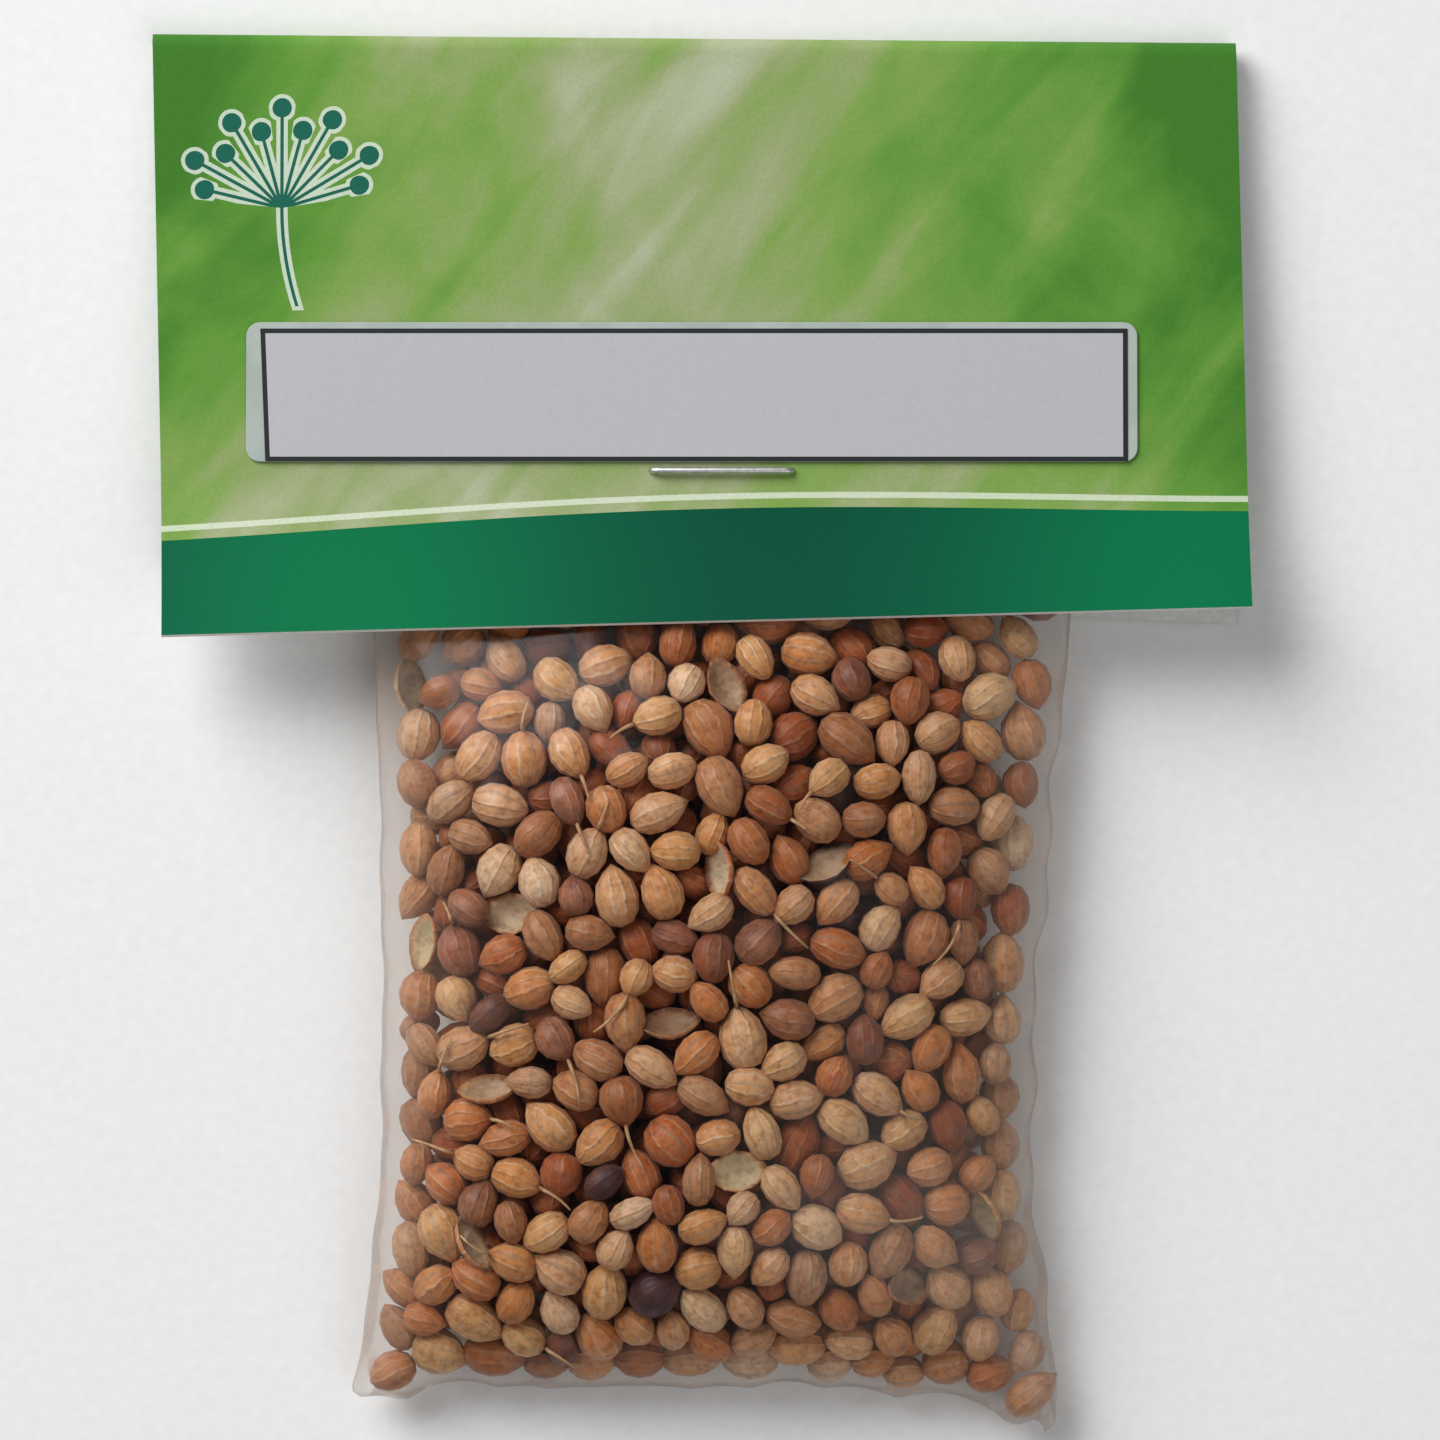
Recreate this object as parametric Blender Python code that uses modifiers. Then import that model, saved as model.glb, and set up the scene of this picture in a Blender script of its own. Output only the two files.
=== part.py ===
"""Clear bag of coriander seeds under a folded header card, lying on its back.

The bag is a flat tube of film, sealed across the bottom and filled with loose seeds. Its empty
neck is flattened, and a card is folded over it and stapled through. X runs across the card, Y up
it, and Z away from the surface that the bag lies on. All lengths are in metres.
"""

import math
import random

import bmesh
import bpy
import numpy as np
from mathutils import Matrix, Vector
from mathutils.kdtree import KDTree

MM = 0.001
GAP = 0.3 * MM  # between neighbouring pieces

# Header card: corners in plan, as it was folded by hand, a little askew
CARD_THICKNESS = 0.45 * MM
FOLD_LEFT, FOLD_RIGHT = (-47.85 * MM, 61.0 * MM), (46.75 * MM, 60.2 * MM)
FRONT_LEFT, FRONT_RIGHT = (-46.65 * MM, 8.3 * MM), (47.85 * MM, 10.8 * MM)
BACK_LEFT, BACK_RIGHT = (-47.75 * MM, 13.4 * MM), (46.85 * MM, 9.5 * MM)
CARD_SLOPE = 0.066  # fall of the stapled stack from the staple to the fold
FRONT_LIFT = 4.6 * MM  # rise of the front panel over the filled bag, at its lower edge
BACK_DROP = 2.65 * MM  # fall of the back panel to the surface, at its lower edge
SHOULDER = 13.8 * MM  # length of card that bends below the staple
FRONT_CURL, BACK_CURL = 1.45, 1.3  # power of each bend: 1 is straight, 2 an even curve
CARD_STATIONS = 8

# Staple: a common office staple, which sets the scale of the whole
STAPLE_CROWN = 12.9 * MM
WIRE_RADIUS = 0.28 * MM
STAPLE_X, STAPLE_Y = 1.85 * MM, 22.75 * MM
STAPLE_CORNER = 0.7 * MM
CLINCH_LENGTH = 4.6 * MM
CLINCH_SAG = 0.25 * MM
HOLE_DEPTH = 6 * MM  # through the whole stack
HOLE_SIDES = 10

# Label strip on the front panel
LABEL_WIDTH, LABEL_HEIGHT, LABEL_THICKNESS = 77.6 * MM, 12.2 * MM, 0.3 * MM
LABEL_X, LABEL_Y = -0.75 * MM, 29.6 * MM
LABEL_CORNER = 1.2 * MM

# Film bag
FILM = 0.3 * MM  # wall, several times the real film
FLAT_HALF = 31.2 * MM  # half the width of the empty tube
WAIST_HALF = 28.3 * MM  # half the width where the seeds draw the sides in
WAIST_Y = -32 * MM
WIDEN_UP = (1.95 * MM, 40 * MM, 1.5)  # gain in half width, over this length, to this power
WIDEN_DOWN = (3.0 * MM, 26 * MM, 2)
BAG_BOTTOM, BAG_MOUTH = -57.0 * MM, 50.0 * MM
FULL_LOW, FULL_HIGH = -45 * MM, 4 * MM  # between these the side creases run level
BEND_LOW, BEND_HIGH = (-30 * MM, 0.55 * MM), (8 * MM, STAPLE_X)  # (y, x) where the bag leans
LEFT_EAR, RIGHT_EAR = 1.0 * MM, 4.0 * MM  # how far the sealed corners point down
EARS_BELOW = -30 * MM  # where the edges start to bend towards the corners
SEAL = 1.0 * MM
END_LENGTH = 17 * MM  # over which the bag fills out from the seal
NECK_START = 20.5 * MM  # where the neck is flat again
TOP_SHOULDER, LOW_SHOULDER = 32 * MM, 26 * MM  # length of film that slopes to the neck
SHOULDER_POWER = 1.2
NECK_Z = 4.0 * MM  # height of the flattened neck at the staple
CREASE_Z = 4.6 * MM  # height of the side creases of the filled part
SEAL_Z = 3.2 * MM
CREASE_HALF = 0.45 * MM  # half the thickness of the flattened tube
TOP_RISE, LOW_FALL = 9.4 * MM, 5.4 * MM  # from the creases to the crown and to the underside
SECTION_POWER = 1.2  # between a lens (2) and an ellipse (1)
RING_POINTS = 32
BASE_LOW, BASE_HIGH = BAG_BOTTOM + SEAL + END_LENGTH, -6 * MM  # the flat of the underside
BASE_SLOPE = 0.06  # and rises towards both ends

# Seeds: a core with seeds all over it, a third larger than life so that they cover it
SEED_RADIUS, SEED_HALF_LENGTH = 2.2 * MM, 2.8 * MM
SEED_SIDES, SEED_BANDS = 5, 4
SEED_BEAK = 1.12  # the beak's length, as a share of half the seed's
SEED_COUNT = 275
SEEDS_TOP = 13 * MM  # the bag holds none above this
BED_DEPTHS = FILM + GAP + SEED_RADIUS + np.linspace(0, 2.4, 7) * MM  # under the outer face
BED_EDGE, BED_END = 4.4 * MM, 2.2 * MM  # bare film at the creases and at the ends
CORE_DEPTH, CORE_EDGE, CORE_END = 2.3 * MM, 6.0 * MM, 5.0 * MM
TRIES = 12  # directions drawn for each seed


def clear_scene():
    for leftover in list(bpy.data.objects):
        bpy.data.objects.remove(leftover, do_unlink=True)


def make_collection(name, hidden=False):
    collection = bpy.data.collections.new(name)
    bpy.context.scene.collection.children.link(collection)
    collection.hide_render = hidden
    return collection


def make_material(name, colour, roughness, metallic=0.0, alpha=1.0):
    material = bpy.data.materials.new(name)
    material.use_nodes = True
    shader = material.node_tree.nodes["Principled BSDF"]
    shader.inputs["Base Color"].default_value = (*colour, 1.0)
    shader.inputs["Roughness"].default_value = roughness
    shader.inputs["Metallic"].default_value = metallic
    shader.inputs["Alpha"].default_value = alpha
    return material


def add_object(name, data, collection, material=None):
    made = bpy.data.objects.new(name, data)
    collection.objects.link(made)
    if material:
        data.materials.append(material)
    return made


def add_boolean(target, operation, **settings):
    cut = target.modifiers.new(operation.title(), "BOOLEAN")
    cut.operation = operation
    for key, value in settings.items():
        setattr(cut, key, value)
    return cut


def hide_cutter(cutter):
    cutter.hide_render = True
    cutter.display_type = "WIRE"
    return cutter


# Shape of the filled bag


def waist_half(y):
    """Half the bag's width: least at the waist, and wider towards the neck and the seal."""
    half = WAIST_HALF
    for side, (gain, length, power) in ((1, WIDEN_UP), (-1, WIDEN_DOWN)):
        half = half + gain * (np.clip(side * (y - WAIST_Y), 0, None) / length) ** power
    return np.minimum(half, FLAT_HALF)


def centre_line(y):
    """The neck sits a little to the right of the filled part."""
    return np.interp(y, *zip(BEND_LOW, BEND_HIGH))


def stack_height(y):
    """Middle of the stapled stack, which falls from the staple to the fold."""
    return NECK_Z - CARD_SLOPE * np.clip(y - STAPLE_Y, 0, None)


def crease_height(y):
    """Height of the side creases, from the seal, along the filled part, to the mouth."""
    marks = (BAG_BOTTOM, FULL_LOW, FULL_HIGH, STAPLE_Y)
    filled = np.interp(y, marks, (SEAL_Z, CREASE_Z, CREASE_Z, NECK_Z))
    return np.where(y > STAPLE_Y, stack_height(y), filled)


def fullness(y, shoulder):
    """0 at the seal and in the neck, 1 where the bag is full: a quarter ellipse, then a sine."""
    from_seal = np.clip((y - BAG_BOTTOM - SEAL) / END_LENGTH, 0, 1)
    from_neck = np.clip((NECK_START - y) / shoulder, 0, 1)
    return np.sqrt(1 - (1 - from_seal) ** 2) * np.sin(from_neck * math.pi / 2) ** SHOULDER_POWER


def base_height(y):
    """The bag lies flat between two stations, and its ends rise clear of the surface."""
    return BASE_SLOPE * (np.clip(BASE_LOW - y, 0, None) + np.clip(y - BASE_HIGH, 0, None))


def bag_ring(y, angle, inset, side_inset, crease_half, floor):
    """Points round the bag at y: x by the cosine, and height by the sine to a power."""
    across, up = np.cos(angle), np.sin(angle)
    half = waist_half(y) - side_inset
    rise = np.clip(TOP_RISE * fullness(y, TOP_SHOULDER) - inset, 0, None)
    fall = np.clip(LOW_FALL * fullness(y, LOW_SHOULDER) - inset, 0, None)
    bulge = np.where(up > 0, rise, fall) * np.abs(up) ** SECTION_POWER + crease_half
    lowest = np.minimum(floor + base_height(y), crease_height(y) - crease_half)
    height = np.maximum(crease_height(y) + np.sign(up) * bulge, lowest)
    ears = np.where(across > 0, RIGHT_EAR, LEFT_EAR) * np.abs(across) ** 3
    near_seal = np.clip((EARS_BELOW - y) / (EARS_BELOW - BAG_BOTTOM), 0, 1) ** 3
    return np.stack([centre_line(y) + half * across, y - ears * near_seal, height], axis=-1)


def inner_ring(y, angle):
    """Points round the inner face of the film at y, a wall's thickness further up at the seal."""
    ring = bag_ring(y, angle, CREASE_HALF, 2 * FILM, CREASE_HALF - FILM, FILM)
    ring[:, 1] += FILM * np.interp(y, (BAG_BOTTOM, BAG_BOTTOM + END_LENGTH), (1, 0))
    return ring


def ring_angles(count):
    """Angles a half step clear of the creases, so that each crease has a short upright side."""
    return (np.arange(count) + 0.5) * 2 * math.pi / count


def close_end(shape, row):
    """Closes a ring with strips from each point above to the one straight below it."""
    for i in range(len(row) // 2 - 1):
        shape.faces.new((row[i], row[i + 1], row[-2 - i], row[-1 - i]))


def loft(name, rings, collection, material=None):
    """Closed solid through rings of points."""
    shape = bmesh.new()
    rows = [[shape.verts.new(point) for point in ring] for ring in rings]
    for low, high in zip(rows, rows[1:]):
        for i in range(len(low)):
            shape.faces.new((low[i - 1], low[i], high[i], high[i - 1]))
    close_end(shape, rows[0])
    close_end(shape, rows[-1])
    bmesh.ops.recalc_face_normals(shape, faces=shape.faces)
    mesh = bpy.data.meshes.new(name)
    shape.to_mesh(mesh)
    shape.free()
    mesh.shade_smooth()
    mesh.set_sharp_from_angle(angle=math.radians(40))
    return add_object(name, mesh, collection, material)


def bag_stations():
    """Heights of the rings: close together at the seal and the shoulder, where the bag turns."""
    turn = 1 - np.cos(np.linspace(0, math.pi / 2, 7))
    end = BAG_BOTTOM + SEAL + END_LENGTH * turn
    shoulder = np.linspace(BASE_HIGH, STAPLE_Y, 7)
    return np.concatenate([end, shoulder])


def make_film(parts, cutters, holes, material):
    """The outer skin less the space inside, which is open at the mouth."""
    angles = ring_angles(RING_POINTS)
    stations = bag_stations()
    outer_y = [BAG_BOTTOM, *stations, BAG_MOUTH]
    outer = [bag_ring(y, angles, CREASE_HALF, 0, CREASE_HALF, 0.0) for y in outer_y]
    film = loft("bag_film", outer, parts, material)
    inner = [inner_ring(y, angles) for y in (*stations[1:], BAG_MOUTH + SEAL)]
    space = hide_cutter(loft("bag_space", inner, cutters))
    add_boolean(film, "DIFFERENCE", object=space)
    add_boolean(film, "DIFFERENCE", operand_type="COLLECTION", collection=holes)
    return film


# Seeds


def spread(points, count):
    """Indices of count points, each the farthest of all from those chosen before it."""
    chosen = [0]
    nearest = np.linalg.norm(points - points[0], axis=1)
    while len(chosen) < count:
        chosen.append(int(nearest.argmax()))
        distance = np.linalg.norm(points - points[chosen[-1]], axis=1)
        nearest = np.minimum(nearest, distance)
    return chosen


def seed_bed(depth, edge, end, stations, around):
    """Rings of a surface so deep under the film, and so far in from its creases and ends."""
    turn = (1 - np.cos(np.linspace(0, math.pi, stations))) / 2
    share = (turn + np.linspace(0, 1, stations)) / 2  # closer together at both ends
    low, high = BAG_BOTTOM + SEAL + end, SEEDS_TOP - end
    angle = ring_angles(around)
    half_crease = CREASE_HALF - FILM
    return [
        bag_ring(y, angle, depth, edge, half_crease, depth) for y in low + (high - low) * share
    ]


def inner_face_tree():
    """The film's inner face as a cloud of points, to ask how far from it a point lies."""
    fine = 120
    angle = ring_angles(fine)
    stations = np.linspace(bag_stations()[1], STAPLE_Y, fine)
    rings = [inner_ring(y, angle) for y in stations]
    middle = np.array((0, 0, crease_height(stations[0])))
    for share in np.linspace(0, 1, 6):  # the flat end that closes the first ring
        rings.append(rings[0] * (1, 1, share) + middle * (1 - share))
    points = np.concatenate(rings)
    tree = KDTree(len(points))
    for number, point in enumerate(points):
        tree.insert(point, number)
    tree.balance()
    return tree


def lie_clear(place, normal, skin, draw):
    """A direction to lie in, of a few drawn at random, whose tips are best clear of the film."""
    reach = SEED_HALF_LENGTH * SEED_BEAK
    best, best_room = None, -1.0
    for _ in range(TRIES):
        lie = normal.orthogonal().normalized()
        lie.rotate(Matrix.Rotation(draw.uniform(0, math.pi), 3, normal))
        room = min(skin.find(place + lie * side * reach)[2] for side in (-1, 1))
        if room > best_room:
            best, best_room = lie, room
        if room > 3 * GAP:
            break
    return best


def make_seed_mesh():
    """Ovoid of few sides, its long axis on Z, drawn out to a small beak at one end."""
    shape = bmesh.new()
    bmesh.ops.create_uvsphere(shape, u_segments=SEED_SIDES, v_segments=SEED_BANDS, radius=1)
    for vertex in shape.verts:
        beak = SEED_BEAK if vertex.co.z > 0.9 else 1.0
        vertex.co.xy *= SEED_RADIUS
        vertex.co.z *= SEED_HALF_LENGTH * beak
    mesh = bpy.data.meshes.new("seed")
    shape.to_mesh(mesh)
    shape.free()
    return mesh


def keep_outer_shell(mesh):
    """Drops the loose shells that joining leaves inside: the hollows that it sealed."""
    shape = bmesh.new()
    shape.from_mesh(mesh)
    waiting = set(shape.verts)
    shells = []
    while waiting:
        front = [waiting.pop()]
        shell = set(front)
        while front:
            for edge in front.pop().link_edges:
                fresh = set(edge.verts) - shell
                shell |= fresh
                front.extend(fresh)
        waiting -= shell
        shells.append(shell)
    shells.sort(key=len)
    inner = [vertex for shell in shells[:-1] for vertex in shell]
    bmesh.ops.delete(shape, geom=inner, context="VERTS")
    shape.to_mesh(mesh)
    shape.free()


def make_seeds(parts, material):
    """A core with seeds lying on it at random angles, sunk to their middles and joined to it."""
    core_rings = seed_bed(CORE_DEPTH, CORE_EDGE, CORE_END, 10, 14)
    core = loft("coriander_seeds", core_rings, parts, material)
    skin = inner_face_tree()
    beds = [seed_bed(depth, BED_EDGE, BED_END, 60, 48) for depth in BED_DEPTHS]
    places = np.array(beds).reshape(-1, 3)
    found = [skin.find(place) for place in places]
    room = np.array([distance for _, _, distance in found])
    touches = (room > SEED_RADIUS + 2 * GAP) & (room < SEED_RADIUS + 3 * GAP)
    outward = np.array([point for point, _, _ in found])[touches] - places[touches]
    places = places[touches]
    draw = random.Random(8)
    loose = make_collection("loose_seeds")
    mesh = make_seed_mesh()
    for number in spread(places, SEED_COUNT):
        place = Vector(places[number])
        normal = Vector(outward[number]).normalized()
        lie = lie_clear(place, normal, skin, draw)
        axes = Matrix((normal.cross(lie), normal, lie)).transposed().to_4x4()
        seed = add_object("loose_seed", mesh, loose)
        seed.matrix_world = Matrix.Translation(place) @ axes
    union = add_boolean(
        core, "UNION", operand_type="COLLECTION", collection=loose, solver="MANIFOLD"
    )
    bpy.context.view_layer.objects.active = core
    bpy.ops.object.modifier_apply(modifier=union.name)
    keep_outer_shell(core.data)
    for seed in list(loose.objects):
        bpy.data.objects.remove(seed)
    bpy.data.collections.remove(loose)
    return core


# Card, label and staple


def blend(left, right, share):
    return np.array(left) + (np.array(right) - np.array(left)) * share


def card_profile(share):
    """Middle of the card in one upright slice: up the front, round the fold, down the back."""
    front, fold, back = (
        blend(*ends, share)
        for ends in ((FRONT_LEFT, FRONT_RIGHT), (FOLD_LEFT, FOLD_RIGHT), (BACK_LEFT, BACK_RIGHT))
    )
    half_stack = CREASE_HALF + GAP + CARD_THICKNESS / 2
    fold_y = fold[1] - half_stack - CARD_THICKNESS / 2

    def panel(end, sign, bend, power, steps):
        """Points from the panel's lower edge to the fold: a bend, then a straight slope."""
        y = np.concatenate(
            [np.linspace(end[1], STAPLE_Y, steps), np.linspace(STAPLE_Y, fold_y, 4)[1:]]
        )
        below = np.clip((STAPLE_Y - y) / SHOULDER, 0, None)
        z = stack_height(y) + sign * (half_stack + bend * below**power)
        x = end[0] + (fold[0] - end[0]) * (y - end[1]) / (fold[1] - end[1])
        return np.stack([x, y, z], axis=-1)

    turn = np.linspace(0, math.pi, 6)[1:-1]
    arc_y = fold_y + half_stack * np.sin(turn)
    arc_z = stack_height(fold_y) + half_stack * np.cos(turn)
    arc = np.stack([np.full_like(turn, fold[0]), arc_y, arc_z], axis=-1)
    up = panel(front, 1, FRONT_LIFT, FRONT_CURL, 7)
    down = panel(back, -1, BACK_DROP, BACK_CURL, 5)[::-1]
    return np.concatenate([up, arc, down])


def make_card(parts, holes, material):
    """The folded blank: a sheet along its profile, thickened, with the staple's holes."""
    profiles = [card_profile(share) for share in np.linspace(0, 1, CARD_STATIONS)]
    steps = (CARD_STATIONS - 1, len(profiles[0]) - 1)
    shape = bmesh.new()
    bmesh.ops.create_grid(shape, x_segments=steps[0], y_segments=steps[1], size=1)
    for vertex in shape.verts:
        column, row = (round((c + 1) / 2 * n) for c, n in zip(vertex.co.xy, steps))
        vertex.co = Vector(profiles[column][row])
    mesh = bpy.data.meshes.new("header_card")
    shape.to_mesh(mesh)
    shape.free()
    mesh.shade_smooth()
    mesh.set_sharp_from_angle(angle=math.radians(40))
    card = add_object("header_card", mesh, parts, material)
    sheet = card.modifiers.new("Thickness", "SOLIDIFY")
    sheet.thickness = CARD_THICKNESS
    sheet.offset = 0
    sheet.use_even_offset = True
    add_boolean(card, "DIFFERENCE", operand_type="COLLECTION", collection=holes)
    return card


def rounded_outline(width, height, radius, steps):
    """Points round a rectangle with quarter circles at its corners."""
    points = []
    for corner in range(4):
        side_x = 1 if corner in (0, 3) else -1
        side_y = 1 if corner in (0, 1) else -1
        for step in range(steps + 1):
            angle = math.pi / 2 * (corner + step / steps)
            x = side_x * (width / 2 - radius) + radius * math.cos(angle)
            y = side_y * (height / 2 - radius) + radius * math.sin(angle)
            points.append((x, y, 0.0))
    return points


def add_spline(curve, points, cyclic=False):
    spline = curve.splines.new("POLY")
    spline.points.add(len(points) - 1)
    for place, point in zip(spline.points, points):
        place.co = (*point, 1.0)
    spline.use_cyclic_u = cyclic


def make_label(parts, material):
    """A stiff strip with round corners, flat on the front panel's slope."""
    curve = bpy.data.curves.new("label_strip", "CURVE")
    curve.dimensions = "2D"
    curve.fill_mode = "BOTH"
    curve.extrude = LABEL_THICKNESS / 2
    add_spline(curve, rounded_outline(LABEL_WIDTH, LABEL_HEIGHT, LABEL_CORNER, 3), cyclic=True)
    label = add_object("label_strip", curve, parts, material)
    above = CREASE_HALF + GAP + CARD_THICKNESS + GAP + LABEL_THICKNESS / 2
    label.location = (LABEL_X, LABEL_Y, stack_height(LABEL_Y) + above)
    label.rotation_euler.x = -math.atan(CARD_SLOPE)
    return label


def bend_points(corner, before, after, radius, steps=4):
    """Quarter turn of the wire at a square corner, from one side's direction to the other's."""
    centre = corner + (after - before) * radius
    turns = [math.pi / 2 * step / steps for step in range(steps + 1)]
    return [centre - after * radius * math.cos(t) + before * radius * math.sin(t) for t in turns]


def make_staple(parts, material):
    """Wire down one leg, clinched inwards at the back, and the same on the other side."""
    stack = CREASE_HALF + GAP + CARD_THICKNESS + GAP + WIRE_RADIUS
    crown = stack_height(STAPLE_Y) + stack
    clinch = stack_height(STAPLE_Y) - stack - CLINCH_SAG
    half = STAPLE_CROWN / 2 - WIRE_RADIUS
    x, z = Vector((1, 0, 0)), Vector((0, 0, 1))

    def leg(side):
        out = x * side
        top = Vector((STAPLE_X, STAPLE_Y, crown)) + out * half
        low = Vector((STAPLE_X, STAPLE_Y, clinch)) + out * half
        tip = low - out * CLINCH_LENGTH + z * CLINCH_SAG / 2
        points = bend_points(top, out, -z, STAPLE_CORNER)
        points += bend_points(low, -z, -out, STAPLE_CORNER)
        return points + [tip]

    curve = bpy.data.curves.new("staple", "CURVE")
    curve.dimensions = "3D"
    curve.bevel_depth = WIRE_RADIUS
    curve.bevel_resolution = 2
    curve.use_fill_caps = True
    add_spline(curve, leg(-1)[::-1] + leg(1))
    return add_object("staple", curve, parts, material)


def make_leg_holes(holes):
    """Plain clearance holes for the staple's legs, through the card and the neck."""
    for side in (-1, 1):
        bpy.ops.mesh.primitive_cylinder_add(
            vertices=HOLE_SIDES, radius=WIRE_RADIUS + GAP, depth=HOLE_DEPTH
        )
        hole = hide_cutter(bpy.context.object)
        hole.name = "leg_hole_left" if side < 0 else "leg_hole_right"
        leg_x = STAPLE_X + side * (STAPLE_CROWN / 2 - WIRE_RADIUS)
        hole.location = (leg_x, STAPLE_Y, NECK_Z)
        for owner in list(hole.users_collection):
            owner.objects.unlink(hole)
        holes.objects.link(hole)


def main():
    clear_scene()
    parts = make_collection("seed_bag_with_header_card")
    cutters = make_collection("cutters", hidden=True)
    holes = make_collection("staple_holes", hidden=True)
    make_leg_holes(holes)
    film = make_material("clear_film", (0.72, 0.71, 0.68), 0.12, alpha=0.3)
    seeds = make_material("dried_coriander", (0.40, 0.22, 0.09), 0.55)
    card = make_material("printed_card", (0.16, 0.36, 0.10), 0.35)
    paper = make_material("label_paper", (0.55, 0.56, 0.58), 0.5)
    steel = make_material("staple_wire", (0.62, 0.62, 0.60), 0.25, metallic=1.0)
    make_seeds(parts, seeds)
    make_film(parts, cutters, holes, film)
    make_card(parts, holes, card)
    make_label(parts, paper)
    make_staple(parts, steel)


main()
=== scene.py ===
# %% [markdown]
# # A clear bag of coriander seeds under a header card
#
# The bag lies on its back. Whole dried coriander fills it, its flat neck is held in a folded
# green card, and one staple goes through the lot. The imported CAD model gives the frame: every
# piece here is worked out in the same metres, with +Y from the bag's sealed end to the card's
# fold, +X across the card and +Z up from the table.

# %% Load the frame
import math

import bpy
import numpy as np
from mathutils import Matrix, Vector


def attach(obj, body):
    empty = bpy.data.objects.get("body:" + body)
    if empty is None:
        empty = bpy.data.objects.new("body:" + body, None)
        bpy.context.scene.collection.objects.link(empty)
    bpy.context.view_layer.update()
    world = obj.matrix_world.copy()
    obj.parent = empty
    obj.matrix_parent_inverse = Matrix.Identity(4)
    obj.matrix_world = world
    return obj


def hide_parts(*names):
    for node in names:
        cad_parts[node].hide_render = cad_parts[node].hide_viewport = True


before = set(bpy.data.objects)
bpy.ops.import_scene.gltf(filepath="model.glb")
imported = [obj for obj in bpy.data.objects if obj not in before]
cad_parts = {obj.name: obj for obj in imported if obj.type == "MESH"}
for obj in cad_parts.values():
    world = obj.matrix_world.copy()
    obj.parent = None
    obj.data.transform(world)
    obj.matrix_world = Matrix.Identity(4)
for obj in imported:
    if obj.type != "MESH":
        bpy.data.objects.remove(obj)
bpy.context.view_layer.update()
MM = 0.001

# %% [markdown]
# ## Camera, table and light
#
# The photograph looks straight down on the bag, from far enough away that the raised lower edge
# of the card is barely larger than its fold. A long lens does that. One photograph pixel is
# worth 1/11.5 mm at the height of the staple, which is the one thing of known size. The picture
# is developed with the plain sRGB curve, so that whites stay white.

# %% Camera
PHOTO_PIXELS = 1440
PIXELS_PER_MM = 11.5
STAPLE_HEIGHT = 6 * MM
CAMERA_HEIGHT = 870 * MM
VIEW_CENTRE = (1.7 * MM, 1.05 * MM)  # where the middle of the photograph falls

camera = bpy.data.objects.new("camera", bpy.data.cameras.new("camera"))
bpy.context.scene.collection.objects.link(camera)
camera.location = (*VIEW_CENTRE, CAMERA_HEIGHT)
camera.data.sensor_width = 36
view_width = PHOTO_PIXELS / PIXELS_PER_MM * MM
camera.data.lens = camera.data.sensor_width * (CAMERA_HEIGHT - STAPLE_HEIGHT) / view_width
camera.data.clip_start = 0.01
bpy.context.scene.camera = camera
bpy.context.scene.view_settings.view_transform = "Standard"
print(f"lens {camera.data.lens:.0f} mm, {view_width / MM:.1f} mm across the view")

# %% [markdown]
# Materials are node trees, and one helper adds a node with its settings and its links. Colours
# are written as the sRGB hex values that an image editor shows, and one function turns them to
# the linear values that light adds up in. Three more take up what several materials share: a
# faint grain of colour, a layer painted over another, and a wave.


# %% Helpers for materials
def linear(code):
    """Linear RGBA of an sRGB hex value: the sRGB curve undone, channel by channel."""
    channels = [int(code[i : i + 2], 16) / 255 for i in (1, 3, 5)]
    return (*(c / 12.92 if c <= 0.04045 else ((c + 0.055) / 1.055) ** 2.4 for c in channels), 1.0)


def add(tree, kind, *inputs, stops=(), **settings):
    """A node of this kind, which may name its operation too, with its settings.

    Inputs are one dict of socket names or numbers, or else they fill the sockets in order. An
    input is a plain value, the socket that feeds it, or a node, whose first live output then
    feeds it. Stops are the (place, hex colour) pairs of a colour ramp.
    """
    kind, *operation = kind.split()
    node = tree.nodes.new("ShaderNode" + kind)
    if operation:
        node.operation = operation[0]
    for name, value in settings.items():
        setattr(node, name, value)
    named = inputs[0] if inputs and isinstance(inputs[0], dict) else dict(enumerate(inputs))
    for name, value in named.items():
        if isinstance(value, bpy.types.Node):
            value = next(socket for socket in value.outputs if socket.enabled)
        if isinstance(value, bpy.types.NodeSocket):
            tree.links.new(value, node.inputs[name])
        else:
            node.inputs[name].default_value = value
    if stops:
        elements = node.color_ramp.elements
        for element, (place, code) in zip(elements, (stops[0], stops[-1])):
            element.position, element.color = place, linear(code)
        for place, code in stops[1:-1]:
            elements.new(place).color = linear(code)
    return node


def new_material(name, **shader_values):
    """A material with its Principled shader, whose whole-surface values are set on its sockets."""
    material = bpy.data.materials.new(name)
    material.use_nodes = True
    shader = material.node_tree.nodes["Principled BSDF"]
    for socket, value in shader_values.items():
        shader.inputs[socket.replace("_", " ")].default_value = value
    return material, material.node_tree, shader


def grained_material(name, scale, detail, stops, **shader_values):
    """A material whose colour wanders between near tones, by a noise in object space."""
    material, tree, shader = new_material(name, **shader_values)
    objects = add(tree, "TexCoord").outputs["Object"]
    grain = add(tree, "TexNoise", {"Vector": objects, "Scale": scale, "Detail": detail})
    tones = add(tree, "ValToRGB", {"Fac": grain}, stops=stops)
    tree.links.new(tones.outputs["Color"], shader.inputs["Base Color"])
    return material


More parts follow.
